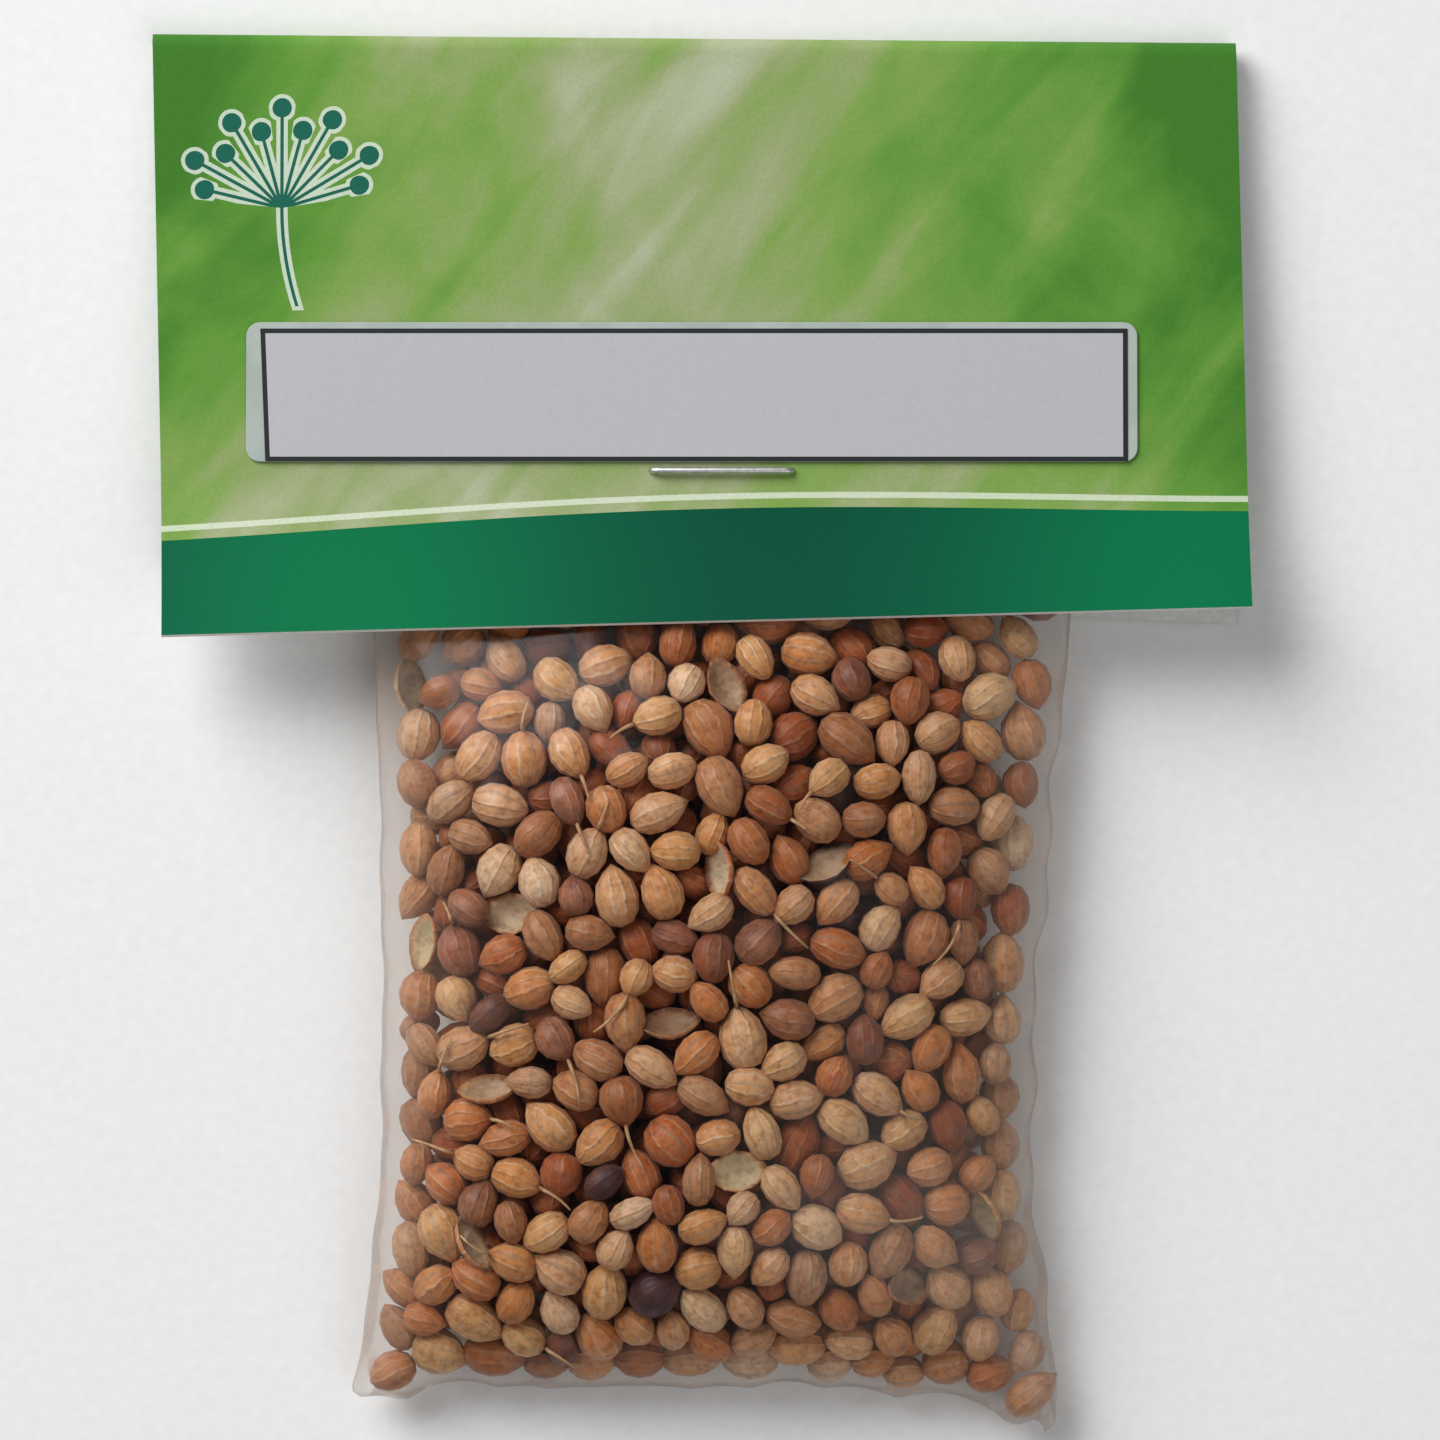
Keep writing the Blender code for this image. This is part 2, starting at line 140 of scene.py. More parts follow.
def paint_over(tree, ground, mask, colour, share=1.0, blend="MIX"):
    """The ground with a layer over it where the mask is 1, as opaque as the share."""
    opacity = add(tree, "Math MULTIPLY", mask, share)
    return add(tree, "Mix", {0: opacity, 6: ground, 7: colour}, data_type="RGBA",
               blend_type=blend)


def crest(tree, angle):
    """(1 + cos angle) / 2: 1 on every full turn and 0 half way between."""
    cosine = add(tree, "Math COSINE", angle)
    return add(tree, "Math MULTIPLY_ADD", cosine, 0.5, 0.5)


# %% [markdown]
# Meshes are made from arrays: points, faces and one number per point where a material needs it.
# Primitives and modifiers would do for single objects, but hundreds of seeds and a film that
# fits them are quicker and clearer as sums on whole arrays.


# %% Helpers for meshes
def unit(vectors):
    """The same vectors with length 1."""
    return vectors / np.linalg.norm(vectors, axis=-1, keepdims=True)


def make_piece(name, points, faces, material, uv=None, smooth=True):
    """An object at the origin from an array of points and a list of faces."""
    mesh = bpy.data.meshes.new(name)
    mesh.from_pydata(np.asarray(points).reshape(-1, 3), [], faces)
    mesh.update()
    if uv is not None:
        layer = mesh.uv_layers.new(name="UVMap")
        layer.data.foreach_set("uv", np.asarray(uv, np.float32).ravel())
    mesh.shade_smooth() if smooth else mesh.shade_flat()
    mesh.materials.append(material)
    piece = bpy.data.objects.new(name, mesh)
    bpy.context.scene.collection.objects.link(piece)
    return piece


def write_values(piece, name, values):
    """One number per point of the piece, for its material to read."""
    layer = piece.data.attributes.new(name, "FLOAT", "POINT")
    layer.data.foreach_set("value", np.asarray(values, np.float32).ravel())


def dress(piece, slot, *nodes):
    """The piece moves with the bag and stands for these CAD nodes; the slot is not used."""
    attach(piece, "root")
    if nodes:
        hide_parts(*nodes)


def grid_faces(rows, columns, wrap=False):
    """Quads of a grid of points, row by row. With wrap, the last column meets the first."""
    row, column = np.mgrid[0 : rows - 1, 0 : columns - (0 if wrap else 1)]
    following = (column + 1) % columns
    corners = (row * columns + column, row * columns + following)
    above = ((row + 1) * columns + following, (row + 1) * columns + column)
    return np.stack([*corners, *above], axis=-1).reshape(-1, 4)


# %% [markdown]
# The table is a plain matt sheet, and the light is a soft box above and to the upper left, with
# a weaker, larger one from the right. Large lights give the soft shadows of the photograph, and
# the film shows them as broad pale gleams.

# %% Table and lights
TABLE_SIZE = 3.0
table_paper = grained_material("matt_background_paper", 900.0, 4.0,
                               [(0.3, "#efefee"), (0.7, "#f4f4f3")], Roughness=0.9)
half, under = TABLE_SIZE / 2, -0.05 * MM
corners = [(-half, -half, under), (half, -half, under), (half, half, under), (-half, half, under)]
table = make_piece("table", corners, [(0, 1, 2, 3)], table_paper, smooth=False)

# (name, place, size, power in watts)
LIGHTS = (
    ("key_box", (-0.55, 0.66, 0.62), 0.75, 13.4),
    ("fill_box", (0.5, -0.5, 0.85), 0.9, 3.0),
)
for name, place, size, power in LIGHTS:
    light = bpy.data.lights.new(name, "AREA")
    light.size, light.energy = size, power
    holder = bpy.data.objects.new(name, light)
    holder.location = place
    holder.rotation_euler = Vector(place).to_track_quat("Z", "Y").to_euler()
    bpy.context.scene.collection.objects.link(holder)
world = bpy.data.worlds.new("studio")
world.use_nodes = True
world.node_tree.nodes["Background"].inputs["Color"].default_value = linear("#f4f6f8")
world.node_tree.nodes["Background"].inputs["Strength"].default_value = 0.18
bpy.context.scene.world = world
print(len(LIGHTS), "soft lights")

# %% [markdown]
# ## The form of the bag
#
# A flat tube of film, filled, becomes a pillow: fullest along its middle, drawn to a crease at
# each side, and pinched at the seal and at the neck. The CAD solid follows rules of height and
# width along the bag, and the same rules are used here, so that seeds and film stay in its
# place. Every function takes whole arrays.

# %% Rules of the bag's form, as in the CAD source
STAPLE_X, STAPLE_Y = 1.85 * MM, 22.75 * MM
CARD_SLOPE = 0.066
FLAT_HALF, WAIST_HALF, WAIST_Y = 31.2 * MM, 28.3 * MM, -32 * MM
BAG_BOTTOM, BAG_MOUTH, SEAL, END_LENGTH = -57 * MM, 50 * MM, 1 * MM, 17 * MM
BASE_LOW, BASE_HIGH, BASE_SLOPE = -39 * MM, -6 * MM, 0.06
LEFT_EAR, RIGHT_EAR, EARS_BELOW = 1 * MM, 4 * MM, -30 * MM
NECK_Z, CREASE_Z, SEAL_Z = 4.0 * MM, 4.6 * MM, 3.2 * MM
TOP_RISE, LOW_FALL, SECTION_POWER = 9.85 * MM, 5.85 * MM, 1.2
NECK_START, TOP_SHOULDER, LOW_SHOULDER = 20.5 * MM, 32 * MM, 26 * MM


def waist_half(y):
    """Half the bag's width: least at the waist, wider towards the neck and the seal."""
    above = 1.95 * MM * (np.clip(y - WAIST_Y, 0, None) / (40 * MM)) ** 1.5
    below = 3.0 * MM * (np.clip(WAIST_Y - y, 0, None) / (26 * MM)) ** 2
    return np.minimum(WAIST_HALF + above + below, FLAT_HALF)


def centre_line(y):
    """The middle of the bag leans a little: straight between two stations."""
    return np.interp(y, (-30 * MM, 8 * MM), (0.55 * MM, STAPLE_X))


def share_across(x, y):
    """Where x stands between the bag's middle, 0, and its creases, -1 and 1."""
    return (x - centre_line(y)) / waist_half(y)


def stack_height(y):
    """Middle of the stapled stack, which falls from the staple to the fold."""
    return NECK_Z - CARD_SLOPE * np.clip(y - STAPLE_Y, 0, None)


def crease_height(y):
    """Height of the two side creases, from the seal to the neck and on through the card."""
    marks = (BAG_BOTTOM, -45 * MM, 4 * MM, STAPLE_Y)
    return np.where(y > STAPLE_Y, stack_height(y),
                    np.interp(y, marks, (SEAL_Z, CREASE_Z, CREASE_Z, NECK_Z)))


def fullness(y, shoulder):
    """0 at the seal and in the neck, 1 where the bag is full: a quarter ellipse, then a sine."""
    from_seal = np.clip((y - BAG_BOTTOM - SEAL) / END_LENGTH, 0, 1)
    from_neck = np.clip((NECK_START - y) / shoulder, 0, 1)
    return np.sqrt(1 - (1 - from_seal) ** 2) * np.sin(from_neck * np.pi / 2) ** 1.2


def ear_drop(across, y):
    """How far the sealed corners hang below the middle of the seal."""
    ears = np.where(across > 0, RIGHT_EAR, LEFT_EAR) * np.abs(across) ** 3
    return ears * np.clip((EARS_BELOW - y) / (EARS_BELOW - BAG_BOTTOM), 0, 1) ** 3


def bag_heights(across, y):
    """Top and underside of the full bag at a share of its half width from the middle.

    Both swell from the crease by (1 - share squared) to a power. The underside lies flat on the
    table between two stations and rises gently from it beyond them.
    """
    swell = (1 - np.clip(np.abs(across), 0, 1) ** 2) ** (SECTION_POWER / 2)
    crease = crease_height(y)
    top = crease + TOP_RISE * fullness(y, TOP_SHOULDER) * swell
    floor = BASE_SLOPE * (np.clip(BASE_LOW - y, 0, None) + np.clip(y - BASE_HIGH, 0, None))
    underside = crease - LOW_FALL * fullness(y, LOW_SHOULDER) * swell
    return top, np.maximum(underside, np.minimum(floor, crease))


middle_top, middle_low = bag_heights(0.0, np.array([-30 * MM]))
print(f"full bag: {(middle_top - middle_low)[0] / MM:.1f} mm thick at its waist")

# %% [markdown]
# ## Packing the seeds
#
# Close on eight hundred seeds lie in the bag, as they fell. Placing them by a rule leaves rows,
# and a rigid-body simulation of so many would be slow and not the same on every machine. So the
# packing is relaxed with arrays: every seed is an egg shape of its own size and direction, all
# start on a jittered lattice, and in each round overlapping pairs push each other apart, the
# film pushes back what would pass through it, and a shake that dies away lets them settle.
# Against the film they roll flat, as real ones do.

# %% Seeds: sizes, directions and a first place
rng = np.random.default_rng(41)
SEED_HALF, SEED_RADIUS = 2.2 * MM, 1.78 * MM  # dried coriander is about 4.3 by 3.5 mm
LATTICE = 3.92 * MM  # spacing of the first places
JITTER = 0.25 * MM  # how far they are off it
ROOM_ABOVE, ROOM_BELOW, ROOM_AT_ENDS = 1.2 * MM, 1.0 * MM, 2 * MM
WIDEST_FIRST = 0.92  # share of the half width that the lattice fills
SEEDS_TOP = 15 * MM  # y above which the film holds no seed
FILM_CLEAR = 0.15 * MM
EDGE_ROOM = 2.0 * MM  # half the depth of the bag's edges, where it is one seed deep
LEFT_MARGIN, RIGHT_MARGIN = 1.5 * MM, 1.1 * MM  # clear film beside the outermost seeds
SETTLE = 0.016 * MM  # how far a seed sinks towards the sealed end in a round, at first
SHAKE_MM = 0.14  # how far it is shaken in a round, at first
START_SIZE, GROWTH, GROWN_AT = 0.8, 0.2, 0.6  # shares of its size, and of the rounds it grows in
NEIGHBOUR_REACH = 5.6 * MM  # centres further apart than this never touch
PUSH_SHARE = 0.75  # how much of an overlap one round takes away
FILM_PUSH = 1 * MM  # the furthest that the film moves a seed in a round
ROLL_REACH, ROLL_SHARE = 1.6, 0.25  # how near to the film seeds roll flat, and how quickly
END_SHARE = 0.7  # share of its half length that the last seed keeps from the seal
# (x, y) in mm of seeds added in the bag's corners, which the lattice leaves empty
CORNER_SEEDS = ((-27.0, -54.5), (-26.4, -50.5), (-24.0, -55.5), (-26.8, -47.0), (-21.0, -55.8),
                (28.3, -58.5), (25.0, -57.5), (28.8, -54.5), (21.5, -56.8), (28.6, -50.5),
                (28.4, -47.0), (25.5, -53.5), (-26.0, 9.0), (-26.5, 5.0), (-22.5, 8.0),
                (-24.5, 1.5), (-19.0, 10.5), (29.0, 9.0), (28.5, 5.0), (25.0, 8.0), (21.0, 10.0))


def seed_room(across, y):
    """Top and underside between which seeds lie: the full bag, and one seed deep at its edges."""
    top, low = bag_heights(across, y)
    crease = crease_height(y)
    return np.maximum(top, crease + EDGE_ROOM), np.minimum(low, crease - EDGE_ROOM)


def first_places():
    """Close-packed layers, jittered, kept where the film is deep enough to hold a seed."""
    layer = LATTICE * math.sqrt(2 / 3)
    steps = np.mgrid[-9:10, -22:14, 0:5].reshape(3, -1).T
    column, row, level = steps.T
    x = (column + (row % 2) / 2 + (level % 3) / 3) * LATTICE
    y = (row * math.sqrt(3) / 2 + (level % 3) / math.sqrt(12)) * LATTICE
    z = 2.0 * MM + level * layer
    found = np.stack([x, y, z], axis=1) + rng.normal(0, JITTER, (len(x), 3))
    across = share_across(found[:, 0], found[:, 1])
    drop = ear_drop(across, found[:, 1])
    top, low = seed_room(across, found[:, 1] + drop)
    room = (found[:, 2] < top - ROOM_ABOVE) & (found[:, 2] > low + ROOM_BELOW)
    ends = found[:, 1] < SEEDS_TOP - ROOM_AT_ENDS
    ends &= found[:, 1] > BAG_BOTTOM - drop + ROOM_AT_ENDS
    corners = np.array([(x * MM, y * MM, SEAL_Z) for x, y in CORNER_SEEDS])
    return np.concatenate([found[room & ends & (np.abs(across) < WIDEST_FIRST)], corners])


places = first_places()
count = len(places)
size = np.clip(rng.normal(1.0, 0.1, count), 0.7, 1.2)
half_length = SEED_HALF * size * rng.normal(1.0, 0.06, count)
radius = SEED_RADIUS * size * rng.normal(1.0, 0.04, count)
lie = unit(rng.normal(size=(count, 3)))
print(count, "seeds")


# %% Relax the packing
def film_normals(across, y):
    """Unit normals of the film above and below, from heights a small step to each side."""
    step = 0.4 * MM
    wide = step / waist_half(y)
    slopes = []
    for surface in (0, 1):
        along_x = seed_room(across + wide, y)[surface] - seed_room(across - wide, y)[surface]
        along_y = seed_room(across, y + step)[surface] - seed_room(across, y - step)[surface]
        slopes.append(unit(np.stack([-along_x, -along_y, np.full_like(y, 2 * step)], axis=1)))
    return slopes[0], -slopes[1]


def reach(direction, number, lie, grown):
    """How far a seed extends that way: the mean of its radius and of its support distance."""
    cosine = np.abs((direction * lie[number]).sum(axis=1))
    a, b = half_length[number] * grown, radius[number] * grown
    support = np.sqrt((a * cosine) ** 2 + b**2 * (1 - cosine**2))
    ray = 1 / np.sqrt((cosine / a) ** 2 + (1 - cosine**2) / b**2)
    return (support + ray) / 2


def relax(places, lie, rounds=320):
    """Pushes overlapping pairs apart and keeps every seed inside the film."""
    everyone = np.arange(count)
    end_room = rng.uniform(-0.1 * MM, 0.8 * MM, count)  # so that the last seeds stand in no row
    for step in range(rounds):
        progress = min(1.0, step / (rounds * GROWN_AT))
        grown = START_SIZE + GROWTH * progress
        places = places + rng.normal(0, (1 - progress) * SHAKE_MM * MM + 1e-12, places.shape)
        places[:, 1] -= (1 - progress) * SETTLE
        if step % 6 == 0:
            apart = np.linalg.norm(places[:, None] - places[None], axis=2)
            first, second = np.nonzero(np.triu(apart < NEIGHBOUR_REACH, 1))
        line = places[second] - places[first]
        distance = np.linalg.norm(line, axis=1, keepdims=True)
        line = line / distance
        wanted = reach(line, first, lie, grown) + reach(line, second, lie, grown)
        push = np.clip(wanted - distance[:, 0], 0, None)[:, None] * line * 0.5
        move = np.zeros_like(places)
        np.add.at(move, first, -push)
        np.add.at(move, second, push)
        places = places + move * PUSH_SHARE
        for _ in range(2):
            across = share_across(places[:, 0], places[:, 1])
            y = places[:, 1] + ear_drop(across, places[:, 1])
            heights = seed_room(across, y)
            for surface, normal in enumerate(film_normals(across, y)):
                depth = (heights[surface] - places[:, 2]) * normal[:, 2]
                needed = reach(normal, everyone, lie, grown) + FILM_CLEAR
                over = np.clip(needed - depth, 0, FILM_PUSH)
                places = places - over[:, None] * normal
                near = np.clip(ROLL_REACH - depth / needed, 0, 1) * ROLL_SHARE
                tilt = (lie * normal).sum(axis=1) * near
                lie = lie - tilt[:, None] * normal
        lie = unit(lie)
        corner = ear_drop(across, np.full(count, BAG_BOTTOM))
        lowest = BAG_BOTTOM + half_length * END_SHARE + end_room - corner
        places[:, 1] = np.clip(places[:, 1], lowest, SEEDS_TOP - half_length)
        widest = waist_half(places[:, 1]) - radius
        middle = centre_line(places[:, 1])
        places[:, 0] = np.clip(places[:, 0], middle - widest + LEFT_MARGIN,
                               middle + widest - RIGHT_MARGIN)
    return places, lie, np.clip(wanted - distance[:, 0], 0, None)


places, lie, overlaps = relax(places, lie)
print(f"packed: overlap mean {overlaps[overlaps > 0].mean() / MM:.2f} mm, "
      f"worst {overlaps.max() / MM:.2f} mm")

# %% [markdown]
# ## Seeds with a part to play
#
# A few seeds catch the eye in the photograph: empty half husks that show their pale inside,
# three dark ones, three orange ones, and some that kept a thin stalk. They are the top seeds
# nearest to those places. A half husk is a seed pushed in on one side, so it is turned here to
# show its hollow, along the film's normal and tipped by an angle.

# %% Choose husks, stalks and dark seeds
ON_TOP, BURIED = 2.9 * MM, 3.4 * MM  # depths below the film: shallower, deeper than this
# Painted shade of the buried seeds: the highest tone they keep, and the share of shade they keep
PAINTED_GAP_TONE, PAINTED_GAP_SHADE = 0.4, 0.3
HUSK_HALF, HUSK_RADIUS = 1.4 * MM, 2.1 * MM
FLAT_LYING, STALK_SHARE = 0.45, 0.07  # cosine to the film's normal, and share of such seeds
DARK_TONE, ORANGE_TONE = 0.0, 0.36
across = share_across(places[:, 0], places[:, 1])
film_up = film_normals(across, places[:, 1])[0]
full_top, full_low = bag_heights(across, places[:, 1])
depth = (full_top - places[:, 2]) * film_up[:, 2]
on_top = depth < ON_TOP
buried = (depth > BURIED) & (places[:, 2] - full_low > BURIED)

# (x, y, turn of its length, tip, way it tips), in mm and degrees
HUSKS = (
    (-16.1, -15.7, 5, 8, 90), (3.4, 5.0, 110, 25, 0), (4.3, -37.7, 5, 10, 100),
    (-24.1, -20.3, 60, 30, 180), (-20.5, -30.3, 20, 55, 80), (-18.3, -44.2, 120, 60, 30),
    (1.2, -10.3, 100, 55, 180), (-0.9, -25.0, 10, 50, 90), (11.3, -11.1, 40, 45, 120),
    (24.5, -41.0, 80, 60, 200), (-24.5, 3.0, 100, 55, 0), (17.0, -47.0, 30, 50, 60),
)
# (x, y, way the stalk points), in mm and degrees
STALKED = ((22.3, -15.0, -97), (-5.3, -31.1, -81), (4.1, -27.7, 101), (-13.5, -26.5, -60),
           (-7.5, -21.0, -115), (6.5, -13.0, -50), (-21.0, -25.5, 20), (-19.5, -37.5, 160))
DARK = ((-3.7, -49.1), (-6.0, -38.1), (11.3, -11.1))
ORANGE = ((22.3, -15.0), (-2.0, -37.0), (2.0, -12.0))


def nearest_on_top(x, y):
    """Number of the top seed whose centre is nearest to this place in plan, in mm."""
    away = np.hypot(places[:, 0] - x * MM, places[:, 1] - y * MM)
    return int(np.argmin(np.where(on_top, away, np.inf)))


def heading(degrees):
    """The level direction at this angle from +X."""
    return np.array([math.cos(math.radians(degrees)), math.sin(math.radians(degrees)), 0])


husk_long = np.zeros((count, 3))
is_husk = np.zeros(count, bool)
for x, y, turn, tip, tip_way in HUSKS:
    n = nearest_on_top(x, y)
    is_husk[n] = True
    tip = math.radians(tip)
    lie[n] = unit(film_up[n] * math.cos(tip) + heading(tip_way) * math.sin(tip))
    husk_long[n] = heading(turn)
half_length[is_husk], radius[is_husk] = HUSK_HALF, HUSK_RADIUS

pick = np.random.default_rng(7)
flat_lying = np.abs((lie * film_up).sum(axis=1)) < FLAT_LYING
has_stalk = on_top & flat_lying & ~is_husk & (pick.random(count) < STALK_SHARE)
for x, y, way in STALKED:
    n = nearest_on_top(x, y)
    has_stalk[n] = not is_husk[n]
    pointing = heading(way) - film_up[n] * (heading(way) @ film_up[n])
    lie[n] = lie[n] if is_husk[n] else unit(pointing)

# Most run from orange to straw. One in 22 is pinkish, and one in 125 is dark.
seed_tone = 0.28 + 0.72 * pick.beta(2.3, 1.6, count)
seed_tone[pick.random(count) < 0.045] = 0.2
seed_tone[pick.random(count) < 0.008] = 0.1
for tone_value, spots in ((DARK_TONE, DARK), (ORANGE_TONE, ORANGE)):
    for x, y in spots:
        seed_tone[nearest_on_top(x, y)] = tone_value
seed_shade = pick.uniform(0.0, 1.0, count)
# Painted shade: the buried seeds, seen only in the gaps, get a deep orange tone and a darker
# shade, for light that reaches a gap only after bouncing off several seeds.
seed_tone = np.where(buried, np.minimum(seed_tone, PAINTED_GAP_TONE), seed_tone)
seed_shade = np.where(buried, seed_shade * PAINTED_GAP_SHADE, seed_shade)
print(f"{on_top.sum()} seeds on top, {is_husk.sum()} half husks, {has_stalk.sum()} stalks")

# %% [markdown]
# ## The shape of a seed
#
# A coriander seed is a ribbed ball that is drawn out to a short beak. Hundreds of them are
# drawn, so each has only six dozen faces: rings of a profile turned about its axis. Shading
# them smooth keeps them round, and the ribs, finer than a face, come from the material. Each
# seed's own squeeze, bend and beak keep them from looking stamped.

# %% Build the seeds
SEED_SIDES, SEED_BANDS = 12, 6
BOWL_INSET, BOWL_DEPTH = 0.86, 0.78  # of a half husk's hollow, as shares of the seed


def seed_template():
    """Unit ball as rings of equal latitude steps between two pole points."""
    latitude = np.linspace(0, np.pi, SEED_BANDS + 1)[1:-1]
    turn = np.arange(SEED_SIDES) * 2 * np.pi / SEED_SIDES
    ring = np.stack([
        np.outer(np.sin(latitude), np.cos(turn)),
        np.outer(np.sin(latitude), np.sin(turn)),
        np.outer(np.cos(latitude), np.ones(SEED_SIDES)),
    ], axis=-1).reshape(-1, 3)
    return np.concatenate([[(0, 0, 1)], ring, [(0, 0, -1)]])


def seed_faces():
    """Quads between the rings and triangles at the poles, each with the UV of its corners.

    u runs once round the seed and v from the beak to the base.
    """
    rings = SEED_BANDS - 1
    quads = grid_faces(rings, SEED_SIDES, wrap=True)[:, ::-1] + 1
    row, side = np.mgrid[0 : rings - 1, 0:SEED_SIDES].reshape(2, -1)
    quad_u = np.stack([side, side + 1, side + 1, side], axis=1) / SEED_SIDES
    quad_v = (np.stack([row + 1, row + 1, row, row], axis=1) + 1) / SEED_BANDS
    side = np.arange(SEED_SIDES)
    following = (side + 1) % SEED_SIDES
    last_ring, pole = 1 + (rings - 1) * SEED_SIDES, 1 + rings * SEED_SIDES
    beak = np.stack([0 * side, 1 + side, 1 + following], axis=1)
    base = np.stack([last_ring + side, 0 * side + pole, last_ring + following], axis=1)
    beak_u = np.stack([side + 0.5, side, side + 1], axis=1) / SEED_SIDES
    base_u = np.stack([side, side + 0.5, side + 1], axis=1) / SEED_SIDES
    beak_v = np.broadcast_to([0, 1 / SEED_BANDS, 1 / SEED_BANDS], beak_u.shape)
    base_v = np.broadcast_to([1 - 1 / SEED_BANDS, 1, 1 - 1 / SEED_BANDS], base_u.shape)
    quad_uv = np.stack([quad_u, quad_v], axis=-1)
    triangle_uv = np.stack([np.concatenate([beak_u, base_u]), np.concatenate([beak_v, base_v])],
                           axis=-1)
    return quads, np.concatenate([beak, base]), quad_uv, triangle_uv


def shaped_seeds():
    """Points of all seeds, (seed, point, 3): a ball stretched, squeezed, bent and beaked.

    Towards the beak the radius shrinks and at the pole the length grows. In a half husk the
    upper half of the ball is turned down into the lower one and drawn in, which leaves a bowl,
    and its rim is pulled out to a point at both ends.
    """
    ball = seed_template()[None].repeat(count, axis=0)
    draw = np.random.default_rng(5)
    squeeze = draw.uniform(0.88, 1.0, (count, 1))
    bend = draw.normal(0, 0.06, (count, 1))
    taper = draw.normal(-0.1, 0.06, (count, 1))
    x, y, z = ball[..., 0], ball[..., 1], ball[..., 2]
    wide = 1 + taper * z * np.abs(z)
    beak = np.where(z > 0.99, draw.uniform(1.0, 1.24, (count, 1)), 1.0)
    whole = np.stack([x * wide + bend * (1 - z**2), y * wide * squeeze, z * beak], axis=-1)
    drawn_in = np.where(z > 0.01, BOWL_INSET, 1.0)
    bowl = np.stack([x * (1.12 + 0.2 * x**2) * drawn_in, y * (0.9 - 0.22 * x**2) * drawn_in,
                     np.where(z > 0, -BOWL_DEPTH * z, z)], axis=-1)
    local = np.where(is_husk[:, None, None], bowl, whole)
    local = local * np.stack([radius, radius, half_length], axis=1)[:, None]
    side = unit(np.cross(lie, np.where(np.abs(lie[:, 2:]) < 0.9, (0, 0, 1), (1, 0, 0))))
    turn = draw.uniform(0, 2 * np.pi, (count, 1))
    side = side * np.cos(turn) + np.cross(lie, side) * np.sin(turn)
    long_side = husk_long - lie * (husk_long * lie).sum(axis=1, keepdims=True)
    side = unit(np.where(is_husk[:, None], long_side, side))
    frames = np.stack([side, np.cross(lie, side), lie], axis=1)
    return places[:, None] + np.einsum("nki,nij->nkj", local, frames)


# %% [markdown]
# Dried coriander husk is a dry, papery fruit wall: matt with a faint waxy sheen, straw to
# orange brown, a few seeds pinkish or dark. Fine pale ribs run from beak to base, with a darker
# line on each side where its two halves join. The ribs follow the seed's own UV map and waver
# as the real ones do. Each seed carries one tone, an attribute, that picks its place in the
# range of colours, and a shade, as some are darker all over. In the seeds buried in the gaps
# both also carry painted shade. Another attribute marks the pale inside of a half husk.

# %% Husk material
RIBS = 10
husk, tree, shader = new_material("dried_coriander_husk", Roughness=0.5, Specular_IOR_Level=0.4,
                                  Sheen_Weight=0.1)
split = add(tree, "SeparateXYZ", add(tree, "UVMap", uv_map="UVMap")).outputs
tone = add(tree, "Attribute", attribute_name="tone").outputs["Fac"]
inside = add(tree, "Attribute", attribute_name="inside").outputs["Fac"]
objects = add(tree, "TexCoord").outputs["Object"]
wobble = add(tree, "TexNoise", {"Vector": objects, "Scale": 600.0, "Detail": 2.0})
round_seed = add(tree, "Math MULTIPLY_ADD", wobble, 0.07, split["X"])
rib_angle = add(tree, "Math MULTIPLY", round_seed, 2 * math.pi * RIBS)
rib = add(tree, "Math POWER", crest(tree, rib_angle), 4.5)
join_angle = add(tree, "Math MULTIPLY", round_seed, 4 * math.pi)
join = add(tree, "Math POWER", crest(tree, join_angle), 70.0)
patch = add(tree, "TexNoise", {"Vector": objects, "Scale": 330.0, "Detail": 2.0})
patch_tone = add(tree, "Math MULTIPLY_ADD", patch, 0.3, -0.15)
tone_here = add(tree, "Math ADD", tone, patch_tone, use_clamp=True)
body = add(tree, "ValToRGB", {"Fac": tone_here}, stops=[
    (0.0, "#47262a"), (0.1, "#6f4035"), (0.2, "#a3694c"), (0.34, "#b8622d"), (0.5, "#c97f45"),
    (0.68, "#d3965f"), (0.86, "#daa97a"), (1.0, "#e3bf9b")])
base_dark = add(tree, "Math POWER", split["Y"], 7.0)
ended = paint_over(tree, body, base_dark, linear("#6f4423"), 0.6)
worn = add(tree, "Math MULTIPLY_ADD", patch, 1.7, -0.42, use_clamp=True)
worn_rib = add(tree, "Math MULTIPLY", rib, worn)
ribbed = paint_over(tree, ended, worn_rib, linear("#e9cfb2"), tone_here)
joined = paint_over(tree, ribbed, join, linear("#5d3a20"), 0.36)
lining = paint_over(tree, joined, inside, linear("#cdb898"))
mottle = add(tree, "TexNoise", {"Vector": objects, "Scale": 1400.0, "Detail": 5.0,
                                "Roughness": 0.65})
speck = add(tree, "ValToRGB", {"Fac": mottle}, stops=[(0.32, "#b0907a"), (0.54, "#ffffff")])
specked = paint_over(tree, lining, 0.65, speck, blend="MULTIPLY")
# The shade attribute: darker at random, and painted shade in the buried seeds.
shade = add(tree, "Attribute", attribute_name="shade").outputs["Fac"]
shades = add(tree, "ValToRGB", {"Fac": shade}, stops=[
    (0.0, "#c4ab9d"), (0.35, "#ecdfd6"), (0.65, "#ffffff"), (1.0, "#f8f6e2")])
shaded = paint_over(tree, specked, 1.0, shades, blend="MULTIPLY")
tree.links.new(shaded.outputs[2], shader.inputs["Base Color"])
furrows = add(tree, "Math SUBTRACT", rib, join)
outside = add(tree, "Math SUBTRACT", 1.0, inside)
outer_furrows = add(tree, "Math MULTIPLY", furrows, outside)
relief = add(tree, "Math MULTIPLY_ADD", mottle, 0.35, outer_furrows)
